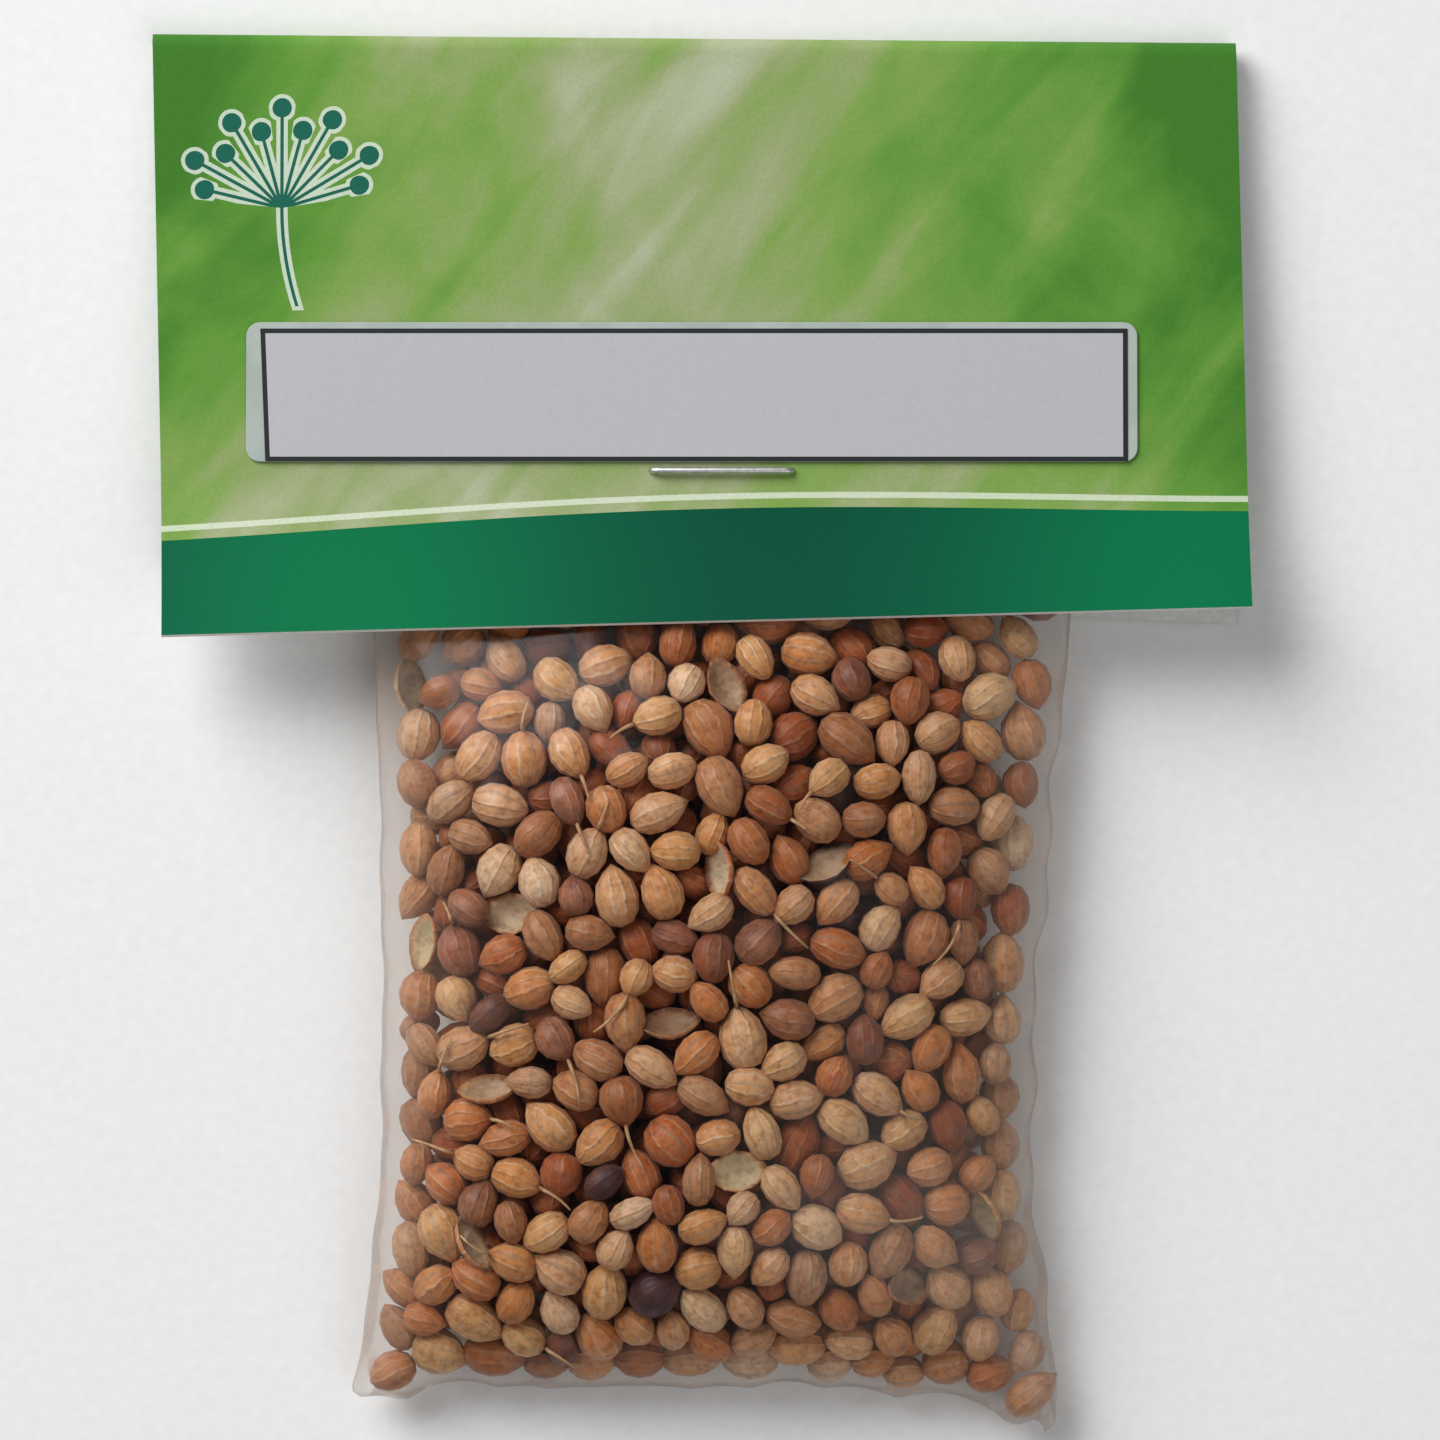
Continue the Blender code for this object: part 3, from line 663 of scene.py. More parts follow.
bump = add(tree, "Bump", {"Strength": 0.65, "Distance": 0.13 * MM, "Height": relief})
tree.links.new(bump.outputs["Normal"], shader.inputs["Normal"])
print(len(tree.nodes), "nodes in the husk")

# %% [markdown]
# Loose seeds could be as many objects that share one mesh, but each has its own squeeze and
# beak, and one mesh with an attribute per seed draws and exports faster.

# %% Make the seeds one mesh
seed_points = shaped_seeds()
LOWEST_SEED = 0.06 * MM  # none comes through the film to the table
seed_points[..., 2] = np.maximum(seed_points[..., 2], LOWEST_SEED)
per_seed = seed_points.shape[1]
quads, triangles, quad_uv, triangle_uv = seed_faces()
first_point = (np.arange(count) * per_seed)[:, None, None]
all_quads = (quads + first_point).reshape(-1, 4)
all_triangles = (triangles + first_point).reshape(-1, 3)
seed_uv = np.concatenate([np.tile(quad_uv, (count, 1, 1)).reshape(-1, 2),
                          np.tile(triangle_uv, (count, 1, 1)).reshape(-1, 2)])
seed_polygons = all_quads.tolist() + all_triangles.tolist()
seeds = make_piece("coriander_seeds_loose", seed_points, seed_polygons, husk, uv=seed_uv)
write_values(seeds, "tone", seed_tone.repeat(per_seed))
write_values(seeds, "shade", seed_shade.repeat(per_seed))
turned_in = seed_template()[:, 2] > 0.01
write_values(seeds, "inside", is_husk[:, None] & turned_in)
dress(seeds, "seeds", "coriander_seeds")
print(f"{len(seed_polygons)} faces in {count} seeds")

# %% [markdown]
# ## The film
#
# The bag is thin clear polypropylene, drawn tight over the seeds. It touches the tops of the
# seeds and spans the dips between them, which is what a soap film over pins would do. So each
# side of the bag is a sheet of heights on a plan grid: it starts on the seeds' tops, and in
# each round every free point moves to the mean of its neighbours, never below a seed. The
# sealed end is drawn up in the same way, by a string that passes just below the last seeds.

# %% Plan of the film
FILM_STEP = 0.45 * MM
columns = int(2 * FLAT_HALF / FILM_STEP)
EDGE_CROWD = 0.86  # how much closer the columns stand towards the creases
across_grid = np.sin(np.linspace(-np.pi / 2, np.pi / 2, columns) * EDGE_CROWD)
across_grid /= across_grid[-1]
full_rows = np.linspace(BAG_BOTTOM, STAPLE_Y, int((STAPLE_Y - BAG_BOTTOM) / FILM_STEP))
neck_rows = np.linspace(STAPLE_Y, BAG_MOUTH, 12)[1:]
stations = np.concatenate([full_rows, neck_rows])
plan_u, plan_v = np.meshgrid(across_grid, stations)
LAST_SEED_GAP = 0.45 * MM  # between the last seeds and the sealed end
DRAWN_LIMIT, DRAWN_ROUNDS = 1.8 * MM, 16  # how far the end is drawn up, and how smoothly
DRAWN_ROWS = 7 * MM  # how far up the bag the drawn end is felt
CORNER_RADIUS = 1.0 * MM  # of the sealed corners in plan


def drawn_end():
    """y of the sealed end for each column: a string held by the lowest seeds, else level."""
    x = centre_line(BAG_BOTTOM) + waist_half(BAG_BOTTOM) * across_grid
    plan_reach = (half_length + radius) / 2
    beside = x[:, None] - places[:, 0]
    below = np.sqrt(np.clip(plan_reach**2 - beside**2, 0, None))
    lowest = np.where(np.abs(beside) < plan_reach, places[:, 1] - below, np.inf).min(axis=1)
    level = BAG_BOTTOM - ear_drop(across_grid, np.full(columns, BAG_BOTTOM))
    held = np.minimum(lowest - LAST_SEED_GAP, level + DRAWN_LIMIT)
    string = np.where(np.isfinite(lowest), held, level)
    obstacle = string.copy()
    for _ in range(DRAWN_ROUNDS):
        string[1:-1] = np.minimum(obstacle[1:-1], (string[:-2] + string[2:]) / 2)
    return string - level


def plan_places(u, v):
    """x and y of the film at a share u of its half width and at station v along the bag."""
    ripple = np.where(u < 0, np.sin(v / MM * 0.41 + 1) + 0.6 * np.sin(v / MM * 0.97),
                      np.sin(v / MM * 0.36) + 0.8 * np.sin(v / MM * 0.83 + 2))
    filled = np.clip((8 * MM - v) / (12 * MM), 0, 1)
    to_corner = np.clip(CORNER_RADIUS - (v - BAG_BOTTOM), 0, None)
    rounding = CORNER_RADIUS - np.sqrt(CORNER_RADIUS**2 - to_corner**2)
    x = centre_line(v) + (waist_half(v) - rounding) * u
    x = x + np.sign(u) * np.abs(u) ** 6 * ripple * np.where(u < 0, 0.1, 0.28) * MM * filled
    near_end = np.clip(1 - (v - BAG_BOTTOM) / DRAWN_ROWS, 0, 1) ** 2
    return x, v - ear_drop(u, v) + drawn_end() * near_end


plan_x, plan_y = plan_places(plan_u, plan_v)
print(f"film grid {plan_x.shape}, end drawn up by {drawn_end().max() / MM:.1f} mm at most")


# %% Stretch the film over the seeds
def seed_heights(x, y, sign):
    """Highest (sign 1) or lowest seed surface over each plan point, with its sign.

    Each seed is the quadric d'Ad = 1, solved for z over the points near it.
    """
    heights = np.full(x.shape, -np.inf)
    middle_y = y[:, y.shape[1] // 2]
    for n in range(count):
        rows = np.nonzero(np.abs(middle_y - places[n, 1]) < half_length[n] + 5 * MM)[0]
        part = slice(rows[0], rows[-1] + 1)
        dx, dy = x[part] - places[n, 0], y[part] - places[n, 1]
        long_term, wide_term = 1 / half_length[n] ** 2, 1 / radius[n] ** 2
        shape = wide_term * np.eye(3) + (long_term - wide_term) * np.outer(lie[n], lie[n])
        slant = shape[0, 2] * dx + shape[1, 2] * dy
        level = shape[0, 0] * dx**2 + 2 * shape[0, 1] * dx * dy + shape[1, 1] * dy**2 - 1
        inner = slant**2 - shape[2, 2] * level
        root = (-slant + sign * np.sqrt(np.clip(inner, 0, None))) / shape[2, 2]
        surface = np.where(inner > 0, sign * (places[n, 2] + root), -np.inf)
        heights[part] = np.maximum(heights[part], surface)
    return heights


def stretch(obstacle, ends, rounds=420):
    """Heights of a sheet held at its ends and resting on the obstacle: the soap-film rule."""
    sheet = np.maximum(obstacle, ends)
    for _ in range(rounds):
        middle = (sheet[1:-1, :-2] + sheet[1:-1, 2:] + sheet[:-2, 1:-1] + sheet[2:, 1:-1]) / 4
        sheet[1:-1, 1:-1] = np.maximum(obstacle[1:-1, 1:-1], middle)
    return sheet


FILM_GAP = 0.4 * MM  # between the seeds' surface and the film: room for a stalk
HALF_SEAL = 0.05 * MM  # half the thickness of the two films where they are flat
HALF_NECK = 0.12 * MM  # the same in the gathered neck
FILM_LOW = 0.02 * MM  # the film's lowest height over the table
crease = crease_height(plan_v)
inner = np.abs(plan_u) < 0.999
flat_half = np.where(inner, HALF_SEAL, 0)
neck_half = np.where(plan_v > NECK_START, HALF_NECK, -10 * MM)  # no hold below the neck
seed_tops, seed_lows = seed_heights(plan_x, plan_y, 1), seed_heights(plan_x, plan_y, -1)
top = stretch(np.maximum(seed_tops + FILM_GAP, crease + neck_half), crease + flat_half)
bottom = -stretch(np.maximum(seed_lows + FILM_GAP, neck_half - crease), flat_half - crease)
bottom = np.minimum(np.maximum(bottom, FILM_LOW), top)
print(f"film: {top.max() / MM:.2f} mm high")

# %% [markdown]
# Clear film is nearly nothing from the front and a grey gleam at a slant. The shader mixes a
# transparent surface with a glossy one by Fresnel. A little haze comes before that, more of it
# in the margins, where the film is creased and scuffed. Fine crinkles break the gleams.

# %% Film material
film_pp, tree, haze_shader = new_material("cast_polypropylene_film", Roughness=0.35, IOR=1.49)
haze_shader.inputs["Base Color"].default_value = linear("#c6b7aa")
objects = add(tree, "TexCoord").outputs["Object"]
crinkle = add(tree, "TexNoise", {"Vector": objects, "Scale": 240.0, "Detail": 3.0})
bump = add(tree, "Bump", {"Strength": 0.3, "Distance": 0.3 * MM, "Height": crinkle})
tree.links.new(bump.outputs["Normal"], haze_shader.inputs["Normal"])
margin = add(tree, "Attribute", attribute_name="margin").outputs["Fac"]
scuffs = add(tree, "TexNoise", {"Vector": objects, "Scale": 70.0, "Detail": 5.0})
scuff = add(tree, "Math MULTIPLY_ADD", scuffs, 0.16, -0.086, use_clamp=True)
haze = add(tree, "Math MULTIPLY_ADD", margin, 0.32, scuff, use_clamp=True)
hazed = add(tree, "MixShader", haze, add(tree, "BsdfTransparent"), haze_shader)
gloss = add(tree, "BsdfAnisotropic", {"Color": linear("#f5f6f8"), "Roughness": 0.16,
                                      "Normal": bump})
fresnel = add(tree, "Fresnel", {"IOR": 1.42, "Normal": bump})
gleam = add(tree, "Math MULTIPLY", fresnel, 0.36)
glossed = add(tree, "MixShader", gleam, hazed, gloss)
tree.links.new(glossed.outputs[0], tree.nodes["Material Output"].inputs["Surface"])


# %% Build the film
def end_faces(row, columns, around, outward_first):
    """Quads that close one end of the tube: column by column, upper sheet to lower sheet."""
    upper = np.arange(columns)
    lower = (2 * columns - 2 - upper) % around
    quads = np.stack([upper[:-1], upper[1:], lower[1:], lower[:-1]], axis=1) + row * around
    quads = quads[:, ::-1] if outward_first else quads
    return [tuple(dict.fromkeys(quad)) for quad in quads.tolist()]  # triangles at the creases


upper_points = np.stack([plan_x, plan_y, top], axis=-1)
lower_points = np.stack([plan_x, plan_y, bottom], axis=-1)[:, -2:0:-1]  # creases are shared
ring = np.concatenate([upper_points, lower_points], axis=1)  # round the bag, row by row
around = ring.shape[1]
tube_faces = grid_faces(len(stations), around, wrap=True).tolist()
tube_faces += end_faces(0, columns, around, True)
tube_faces += end_faces(len(stations) - 1, columns, around, False)
film = make_piece("film_bag", ring, tube_faces, film_pp)
EDGE_POWER, END_MARGIN = 10, 1.3 * MM  # how narrow the creased edges and the seal look
HAZE_PATCH_X, HAZE_PATCH_Y, HAZE_PATCH_REACH = 22 * MM, -44 * MM, 13 * MM  # a soft round patch of extra haze at the lower right
HAZE_PATCH_SHARE = 0.28
edge_margin = np.abs(plan_u) ** EDGE_POWER
end_margin = np.clip(1 - (plan_v - BAG_BOTTOM) / END_MARGIN, 0, 1)
haze_patch = np.exp(-np.hypot(plan_x - HAZE_PATCH_X, plan_y - HAZE_PATCH_Y) ** 2 / HAZE_PATCH_REACH**2)
margin_value = np.clip(np.maximum(edge_margin, end_margin) + HAZE_PATCH_SHARE * haze_patch, 0, 1)
write_values(film, "margin", np.concatenate([margin_value, margin_value[:, -2:0:-1]], axis=1))
dress(film, "film", "bag_film")
print(f"{len(tube_faces)} faces of film")

# %% [markdown]
# ## Stalks
#
# About one in ten of the seeds on top kept a bit of its stalk, thin, straw-coloured and
# slightly bent. It starts at the seed's beak and lies between the film and the seeds beside it.
# Each is a tube: a round section carried along a path, getting thinner, with both ends closed.


# %% Sweep tubes along paths
def swept_tubes(paths, radii, sides, across):
    """Round sections carried along paths (tube, step, 3), each end closed by a point.

    A section is its centre plus radius times (cos t * second + sin t * third): second is square
    to the path and to the vector `across`, and third is square to both.
    """
    ahead = unit(np.gradient(paths, axis=1))
    second = unit(np.cross(ahead, across))
    third = np.cross(ahead, second)
    turn = (np.arange(sides) * 2 * np.pi / sides)[:, None]
    circle = second[:, :, None] * np.cos(turn) + third[:, :, None] * np.sin(turn)
    rings = paths[:, :, None] + circle * radii[..., None, None]
    tubes, steps = paths.shape[:2]
    points = np.concatenate([rings.reshape(tubes, -1, 3), paths[:, :1], paths[:, -1:]], axis=1)
    side = np.arange(sides)
    following, last, end = (side + 1) % sides, (steps - 1) * sides, steps * sides
    caps = np.concatenate([np.stack([following, side, 0 * side + end], axis=1),
                           np.stack([last + side, last + following, 0 * side + end + 1], axis=1)])
    first = (np.arange(tubes) * points.shape[1])[:, None, None]
    quads = (grid_faces(steps, sides, wrap=True) + first).reshape(-1, 4)
    return points, quads.tolist() + (caps + first).reshape(-1, 3).tolist()


def height_at(sheet, x, y):
    """Height of a plan sheet at the grid point nearest to each place."""
    row = np.clip(np.searchsorted(plan_y[:, columns // 2], y), 0, len(stations) - 1)
    column = np.clip(np.searchsorted(across_grid, share_across(x, y)), 0, columns - 1)
    return sheet[row, column]


STALK_STEPS, STALK_THICK, STALK_THIN = 7, 0.19 * MM, 0.09 * MM
LONG_STALK, STALK_ROOM = 4.2 * MM, 6 * MM  # length of the listed stalks, and free way that any needs
STALK_GAP = 0.23 * MM  # from its middle to the film
SHORTEST, LONGEST, STALK_BEND = 1.6, 3.4, 0.22  # mm, mm and share of its length
stalked = np.nonzero(has_stalk)[0]
draw = np.random.default_rng(19)
stalk_length = draw.uniform(SHORTEST, LONGEST, (len(stalked), 1)) * MM
for x, y, _ in STALKED:
    stalk_length[stalked == nearest_on_top(x, y)] = LONG_STALK
along = np.linspace(0, 1, STALK_STEPS)
inside_film = across[stalked] + lie[stalked, 0] * STALK_ROOM / FLAT_HALF
far_end = places[stalked, 1] + lie[stalked, 1] * STALK_ROOM
clear = (np.abs(inside_film) < 0.9) & (far_end > BAG_BOTTOM + 1 * MM)
stalked, stalk_length = stalked[clear], stalk_length[clear]
beak = places[stalked] + lie[stalked] * half_length[stalked, None] * 0.98  # a little way in
sideways = np.cross(film_up[stalked], lie[stalked])
sideways *= draw.normal(0, STALK_BEND, (len(stalked), 1))
stalk_path = (beak[:, None] + (lie[stalked] * stalk_length)[:, None] * along[:, None]
              + (sideways * stalk_length)[:, None] * along[:, None] ** 2)
under_film = height_at(top, stalk_path[..., 0], stalk_path[..., 1]) - STALK_GAP
stalk_path[..., 2] = np.where(along > 0, under_film, stalk_path[..., 2])
stalk_taper = np.linspace(STALK_THICK, STALK_THIN, STALK_STEPS)
stalk_radii = np.broadcast_to(stalk_taper, stalk_path.shape[:2])

# %% [markdown]
# A stalk is dry straw: pale tan, matt, with fibres along it that only a close look shows.

# %% Stalk material and pieces
straw = grained_material("dry_straw_stalk", 900.0, 3.0, [(0.3, "#a0754b"), (0.7, "#c9a377")],
                         Roughness=0.65)
stalk_points, stalk_faces = swept_tubes(stalk_path, stalk_radii, 6, (0, 0, 1))
stalks = make_piece("seed_stalks", stalk_points, stalk_faces, straw)
dress(stalks, "seeds")
print(f"{len(stalked)} stalks of {stalk_length.mean() / MM:.1f} mm on average")

# %% [markdown]
# ## The header card
#
# A blank of coated board, folded over the neck. In section it is a line: up the front, round
# the fold, down the back. That line is carried across the card's width, along the corners that
# a hand-made fold left a little askew. Half the board's thickness to each side of that surface
# gives its two faces, and a strip all round closes them. The inner face and the cut edges are
# bare white board. A Solidify modifier would do the same, but its cut edges would be shaded
# round, and edges kept sharp by their angle show how crisp the cut is.

# %% Card shape
CARD_THICKNESS = 0.42 * MM
HALF_STACK = 0.975 * MM
FOLD_LEFT, FOLD_RIGHT = (-47.85 * MM, 61.0 * MM), (46.75 * MM, 60.2 * MM)
FRONT_LEFT, FRONT_RIGHT = (-46.65 * MM, 8.3 * MM), (47.85 * MM, 10.8 * MM)
BACK_LEFT, BACK_RIGHT = (-46.8 * MM, 13.4 * MM), (46.85 * MM, 9.5 * MM)
FRONT_LIFT, BACK_DROP, BEND_LENGTH = 4.6 * MM, 2.65 * MM, 13.8 * MM
FRONT_CURL, BACK_CURL = 1.45, 1.3
CARD_STATIONS, PANEL_STEPS, FOLD_STEPS, SHARP_EDGE = 97, 53, 12, math.radians(40)


def card_panel(end, fold, fold_y, sign, bend, power, steps):
    """One panel of the card, (step, station, 3), from its free edge to the fold."""
    share = np.linspace(0, 1, steps)[:, None]
    y = end[:, 1] + (fold_y - end[:, 1]) * share
    below = np.clip((STAPLE_Y - y) / BEND_LENGTH, 0, None)
    z = stack_height(y) + sign * (HALF_STACK + bend * below**power)
    x = end[:, 0] + (fold[:, 0] - end[:, 0]) * (y - end[:, 1]) / (fold[:, 1] - end[:, 1])
    return np.stack([x, y, z], axis=-1)


def card_surface(stations, steps):
    """Middle of the board as (row, station, 3): front panel, fold as a half circle, back."""
    share = np.linspace(0, 1, stations)[:, None]
    front, fold, back = (np.array(left) + (np.array(right) - np.array(left)) * share
                         for left, right in ((FRONT_LEFT, FRONT_RIGHT), (FOLD_LEFT, FOLD_RIGHT),
                                             (BACK_LEFT, BACK_RIGHT)))
    fold_y = fold[:, 1] - HALF_STACK - CARD_THICKNESS / 2
    up = card_panel(front, fold, fold_y, 1, FRONT_LIFT, FRONT_CURL, steps)
    down = card_panel(back, fold, fold_y, -1, BACK_DROP, BACK_CURL, steps)[::-1]
    turn = np.linspace(0, np.pi, FOLD_STEPS)[1:-1, None]
    arc = np.stack([np.broadcast_to(fold[:, 0], (len(turn), stations)),
                    fold_y + HALF_STACK * np.sin(turn),
                    stack_height(fold_y) + HALF_STACK * np.cos(turn)], axis=-1)
    return np.concatenate([up, arc, down])


card_points = card_surface(CARD_STATIONS, PANEL_STEPS)
lengths = np.linalg.norm(np.diff(card_points, axis=0), axis=2)
down_card = np.concatenate([np.zeros((1, card_points.shape[1])), np.cumsum(lengths, axis=0)])
CARD_PANEL_MM = down_card[-1].mean() / 2 / MM
print(f"a panel of the card is {CARD_PANEL_MM:.1f} mm along the board")

# %% [markdown]
# The card is offset print on matt coated board. The ground is a wash of greens, as if laid on
# with a wide wet brush: noise stretched along one slant, palest in the middle and full green at
# the sides, above all by the fold. Along the free edge runs a plain dark green band, with a
# gently waved upper edge and a thin pale rule above it. A slow wave makes the band's green
# lighter and darker along its length, a painted sheen. All of it is drawn in the card's own
# millimetres, which its UV map holds, so it bends with the board and runs on over the fold.

# %% Printed board, in mm
BRUSH_SLANT, BRUSH_LENGTH, BRUSH_WIDTH = math.radians(52), 34, 9
WASH_MIDDLE = -4.0  # x where the wash is palest
SIDE_GREEN, FOLD_GREEN = -0.00002, -0.0000034  # per square mm from there, and also per mm up
BAND_HEIGHT, WAVE_RISE, WAVE_HALF = 9.6, 0.9, 62
RULE_ABOVE, RULE_HALF = 1.1, 0.27
# Painted sheen on the band: its wave in radians per mm, and its angle at the middle
PAINTED_SHEEN_TURN, PAINTED_SHEEN_START = 0.086, -3.7008  # radians per mm, and at the middle
card_print, tree, shader = new_material("offset_print_on_coated_board", Roughness=0.55,
                                        Specular_IOR_Level=0.08)
uv = add(tree, "UVMap", uv_map="UVMap")
plan = add(tree, "SeparateXYZ", uv).outputs
past_fold = add(tree, "Math SUBTRACT", plan["Y"], CARD_PANEL_MM)
from_fold = add(tree, "Math ABSOLUTE", past_fold)
up_panel = add(tree, "Math SUBTRACT", CARD_PANEL_MM, from_fold)
slanted = add(tree, "Mapping", {"Vector": uv, "Rotation": (0, 0, BRUSH_SLANT),
                                "Scale": (BRUSH_LENGTH, BRUSH_WIDTH, 1)}, vector_type="TEXTURE")
streaks = add(tree, "TexNoise", {"Vector": slanted, "Scale": 1.0, "Detail": 3.5, "Roughness": 0.5,
                                 "Distortion": 0.7})
blots = add(tree, "TexNoise", {"Vector": uv, "Scale": 0.045, "Detail": 5.0, "Roughness": 0.55,
                               "Distortion": 0.5})
streak_share = add(tree, "Math MULTIPLY", streaks, 0.42)
wash = add(tree, "Math MULTIPLY_ADD", blots, 0.45, streak_share)
from_middle = add(tree, "Math SUBTRACT", plan["X"], WASH_MIDDLE)
side_share = add(tree, "Math MULTIPLY", from_middle, from_middle)
full_green = add(tree, "Math MULTIPLY_ADD", up_panel, FOLD_GREEN, SIDE_GREEN)
paleness = add(tree, "Math MULTIPLY_ADD", side_share, full_green, wash)
greens = add(tree, "ValToRGB", {"Fac": paleness}, stops=[
    (0.14, "#437e2d"), (0.245, "#61973b"), (0.345, "#81a452"), (0.425, "#9caa77"),
    (0.52, "#b6bda0")])
wave_angle = add(tree, "Math MULTIPLY", plan["X"], math.pi / WAVE_HALF)
wave = add(tree, "Math COSINE", wave_angle)
band_top = add(tree, "Math MULTIPLY_ADD", wave, WAVE_RISE, BAND_HEIGHT)
above_band = add(tree, "Math SUBTRACT", up_panel, band_top)
in_band = add(tree, "Math LESS_THAN", above_band, 0.0)
on_rule = add(tree, "Math COMPARE", above_band, RULE_ABOVE, RULE_HALF)
# Painted sheen: the band's green goes lighter and darker along its length in a slow wave.
painted_sheen_angle = add(tree, "Math MULTIPLY_ADD", plan["X"], PAINTED_SHEEN_TURN, PAINTED_SHEEN_START)
band = add(tree, "ValToRGB", {"Fac": crest(tree, painted_sheen_angle)},
           stops=[(0.0, "#004f38"), (0.5, "#006041"), (1.0, "#007346")])
ruled = paint_over(tree, greens, on_rule, linear("#e3ecd8"), 0.7)
banded = paint_over(tree, ruled, in_band, band)

# %% [markdown]
# In the upper left corner stands a plain seed head: rays every 15 degrees from one point, long
# and short in turn, each ending in a round floret, on a short curved stem. A drawing in an image
# file would do, but a formula needs no file and is sharp at any size: the distance to the
# nearest stroke tells the dark ink from its pale rim.

# %% Printed umbel
UMBEL_X, UMBEL_Y, UMBEL_REACH, RAY_CHANGE, STEM = -36.5, 38.0, 7.9, 0.9, 8.5  # mm
RAY_STEP, RAYS_A_SIDE, STEM_BEND = math.radians(15), 5.5, -0.018
FLORET, STROKE, PALE_RIM, FAR = 0.85, 0.15, 0.5, 100.0
side = add(tree, "Math SUBTRACT", plan["X"], UMBEL_X)
rise = add(tree, "Math SUBTRACT", plan["Y"], UMBEL_Y)
angle = add(tree, "Math ARCTAN2", side, rise)
away = add(tree, "VectorMath LENGTH", add(tree, "CombineXYZ", side, rise))
shifted = add(tree, "Math ADD", angle, RAY_STEP / 2)
ray = add(tree, "Math SNAP", shifted, RAY_STEP)
off_ray = add(tree, "Math SUBTRACT", angle, ray)
beside = add(tree, "Math ABSOLUTE", add(tree, "Math MULTIPLY", off_ray, away.outputs["Value"]))
turns = add(tree, "Math MULTIPLY", ray, math.pi / RAY_STEP)
in_turn = add(tree, "Math COSINE", turns)
ray_length = add(tree, "Math MULTIPLY_ADD", in_turn, RAY_CHANGE, UMBEL_REACH)
beyond = add(tree, "Math SUBTRACT", away.outputs["Value"], ray_length)
to_ray = add(tree, "Math MAXIMUM", beside, beyond)
to_end = add(tree, "VectorMath LENGTH", add(tree, "CombineXYZ", beside, beyond))
to_floret = add(tree, "Math SUBTRACT", to_end.outputs["Value"], FLORET - STROKE)
to_head = add(tree, "Math MINIMUM", to_ray, to_floret)
out_of_fan = add(tree, "Math GREATER_THAN", add(tree, "Math ABSOLUTE", ray), RAY_STEP * RAYS_A_SIDE)
in_fan = add(tree, "Math MULTIPLY_ADD", out_of_fan, FAR, to_head)
below_stem = add(tree, "Math SUBTRACT", -STEM, rise)
stem_end = add(tree, "Math MAXIMUM", below_stem, rise)
rise_squared = add(tree, "Math MULTIPLY", rise, rise)
bent_side = add(tree, "Math MULTIPLY_ADD", rise_squared, STEM_BEND, side)
to_stem = add(tree, "Math MAXIMUM", add(tree, "Math ABSOLUTE", bent_side), stem_end)
to_stroke = add(tree, "Math MINIMUM", in_fan, to_stem)
on_rim = add(tree, "Math LESS_THAN", to_stroke, PALE_RIM)
on_stroke = add(tree, "Math LESS_THAN", to_stroke, STROKE)
rimmed = paint_over(tree, banded, on_rim, linear("#dbe6d6"), 0.8)
drawn = paint_over(tree, rimmed, on_stroke, linear("#1f6655"))
ink = add(tree, "TexNoise", {"Vector": uv, "Scale": 3.0, "Detail": 3.0})
tint = add(tree, "ValToRGB", {"Fac": ink}, stops=[(0.3, "#f3f3f1"), (0.7, "#ffffff")])
inked = paint_over(tree, drawn, 1.0, tint, blend="MULTIPLY")
tree.links.new(inked.outputs[2], shader.inputs["Base Color"])
fibre = add(tree, "TexNoise", {"Vector": uv, "Scale": 1.4, "Detail": 4.0})
bump = add(tree, "Bump", {"Strength": 0.12, "Distance": 0.05 * MM, "Height": fibre})
tree.links.new(bump.outputs["Normal"], shader.inputs["Normal"])
print(len(tree.nodes), "nodes in the print")

# %% [markdown]
# The inner side and the cut edges are bare board: white, matt and faintly fibrous.

# %% Bare side of the board
white_board = grained_material("uncoated_white_board", 1500.0, 4.0,
                               [(0.35, "#d9dad6"), (0.65, "#e6e6e2")], Roughness=0.8)
print("bare board:", len(white_board.node_tree.nodes), "nodes")


# %% Build the card
def thick_board(middle, thickness):
    """Both faces of a board and the strip between them, from the surface halfway through it.

    A face is the surface plus or minus half the thickness along its unit normal, which is the
    cross product of its two directions.
    """
    normal = unit(np.cross(np.gradient(middle, axis=1), np.gradient(middle, axis=0)))
    points = np.stack([middle + normal * thickness / 2, middle - normal * thickness / 2])
    rows, columns = middle.shape[:2]
    index = np.arange(rows * columns).reshape(rows, columns)
    edge = np.concatenate([index[0, :-1], index[:-1, -1], index[-1, :0:-1], index[:0:-1, 0]])
    following = np.roll(edge, -1)
    printed = grid_faces(rows, columns)
    inner = printed[:, ::-1] + index.size
    strip = np.stack([edge, edge + index.size, following + index.size, following], axis=1)
    return points, printed, np.concatenate([inner, strip])


board_points, printed, bare = thick_board(card_points, CARD_THICKNESS)
faces = np.concatenate([printed, bare])
card_uv = np.stack([card_points[..., 0], down_card], axis=-1).reshape(-1, 2) / MM
card = make_piece("card_folded", board_points, faces.tolist(), card_print,
                  uv=card_uv[faces.ravel() % len(card_uv)])
card.data.materials.append(white_board)
is_bare = (np.arange(len(faces)) >= len(printed)).astype(np.int32)
card.data.polygons.foreach_set("material_index", is_bare)
card.data.set_sharp_from_angle(angle=SHARP_EDGE)
dress(card, "card", "header_card")
print(f"{len(faces)} faces of card")

# %% [markdown]
# ## The label
#
# A strip of white office paper with a thin black frame, sealed in laminating film that stands
# out around it as a pale border with rounded corners. Both are thin plates that lie on the
# front panel: rings of points that go from the lower face, up the edge, to the upper face.

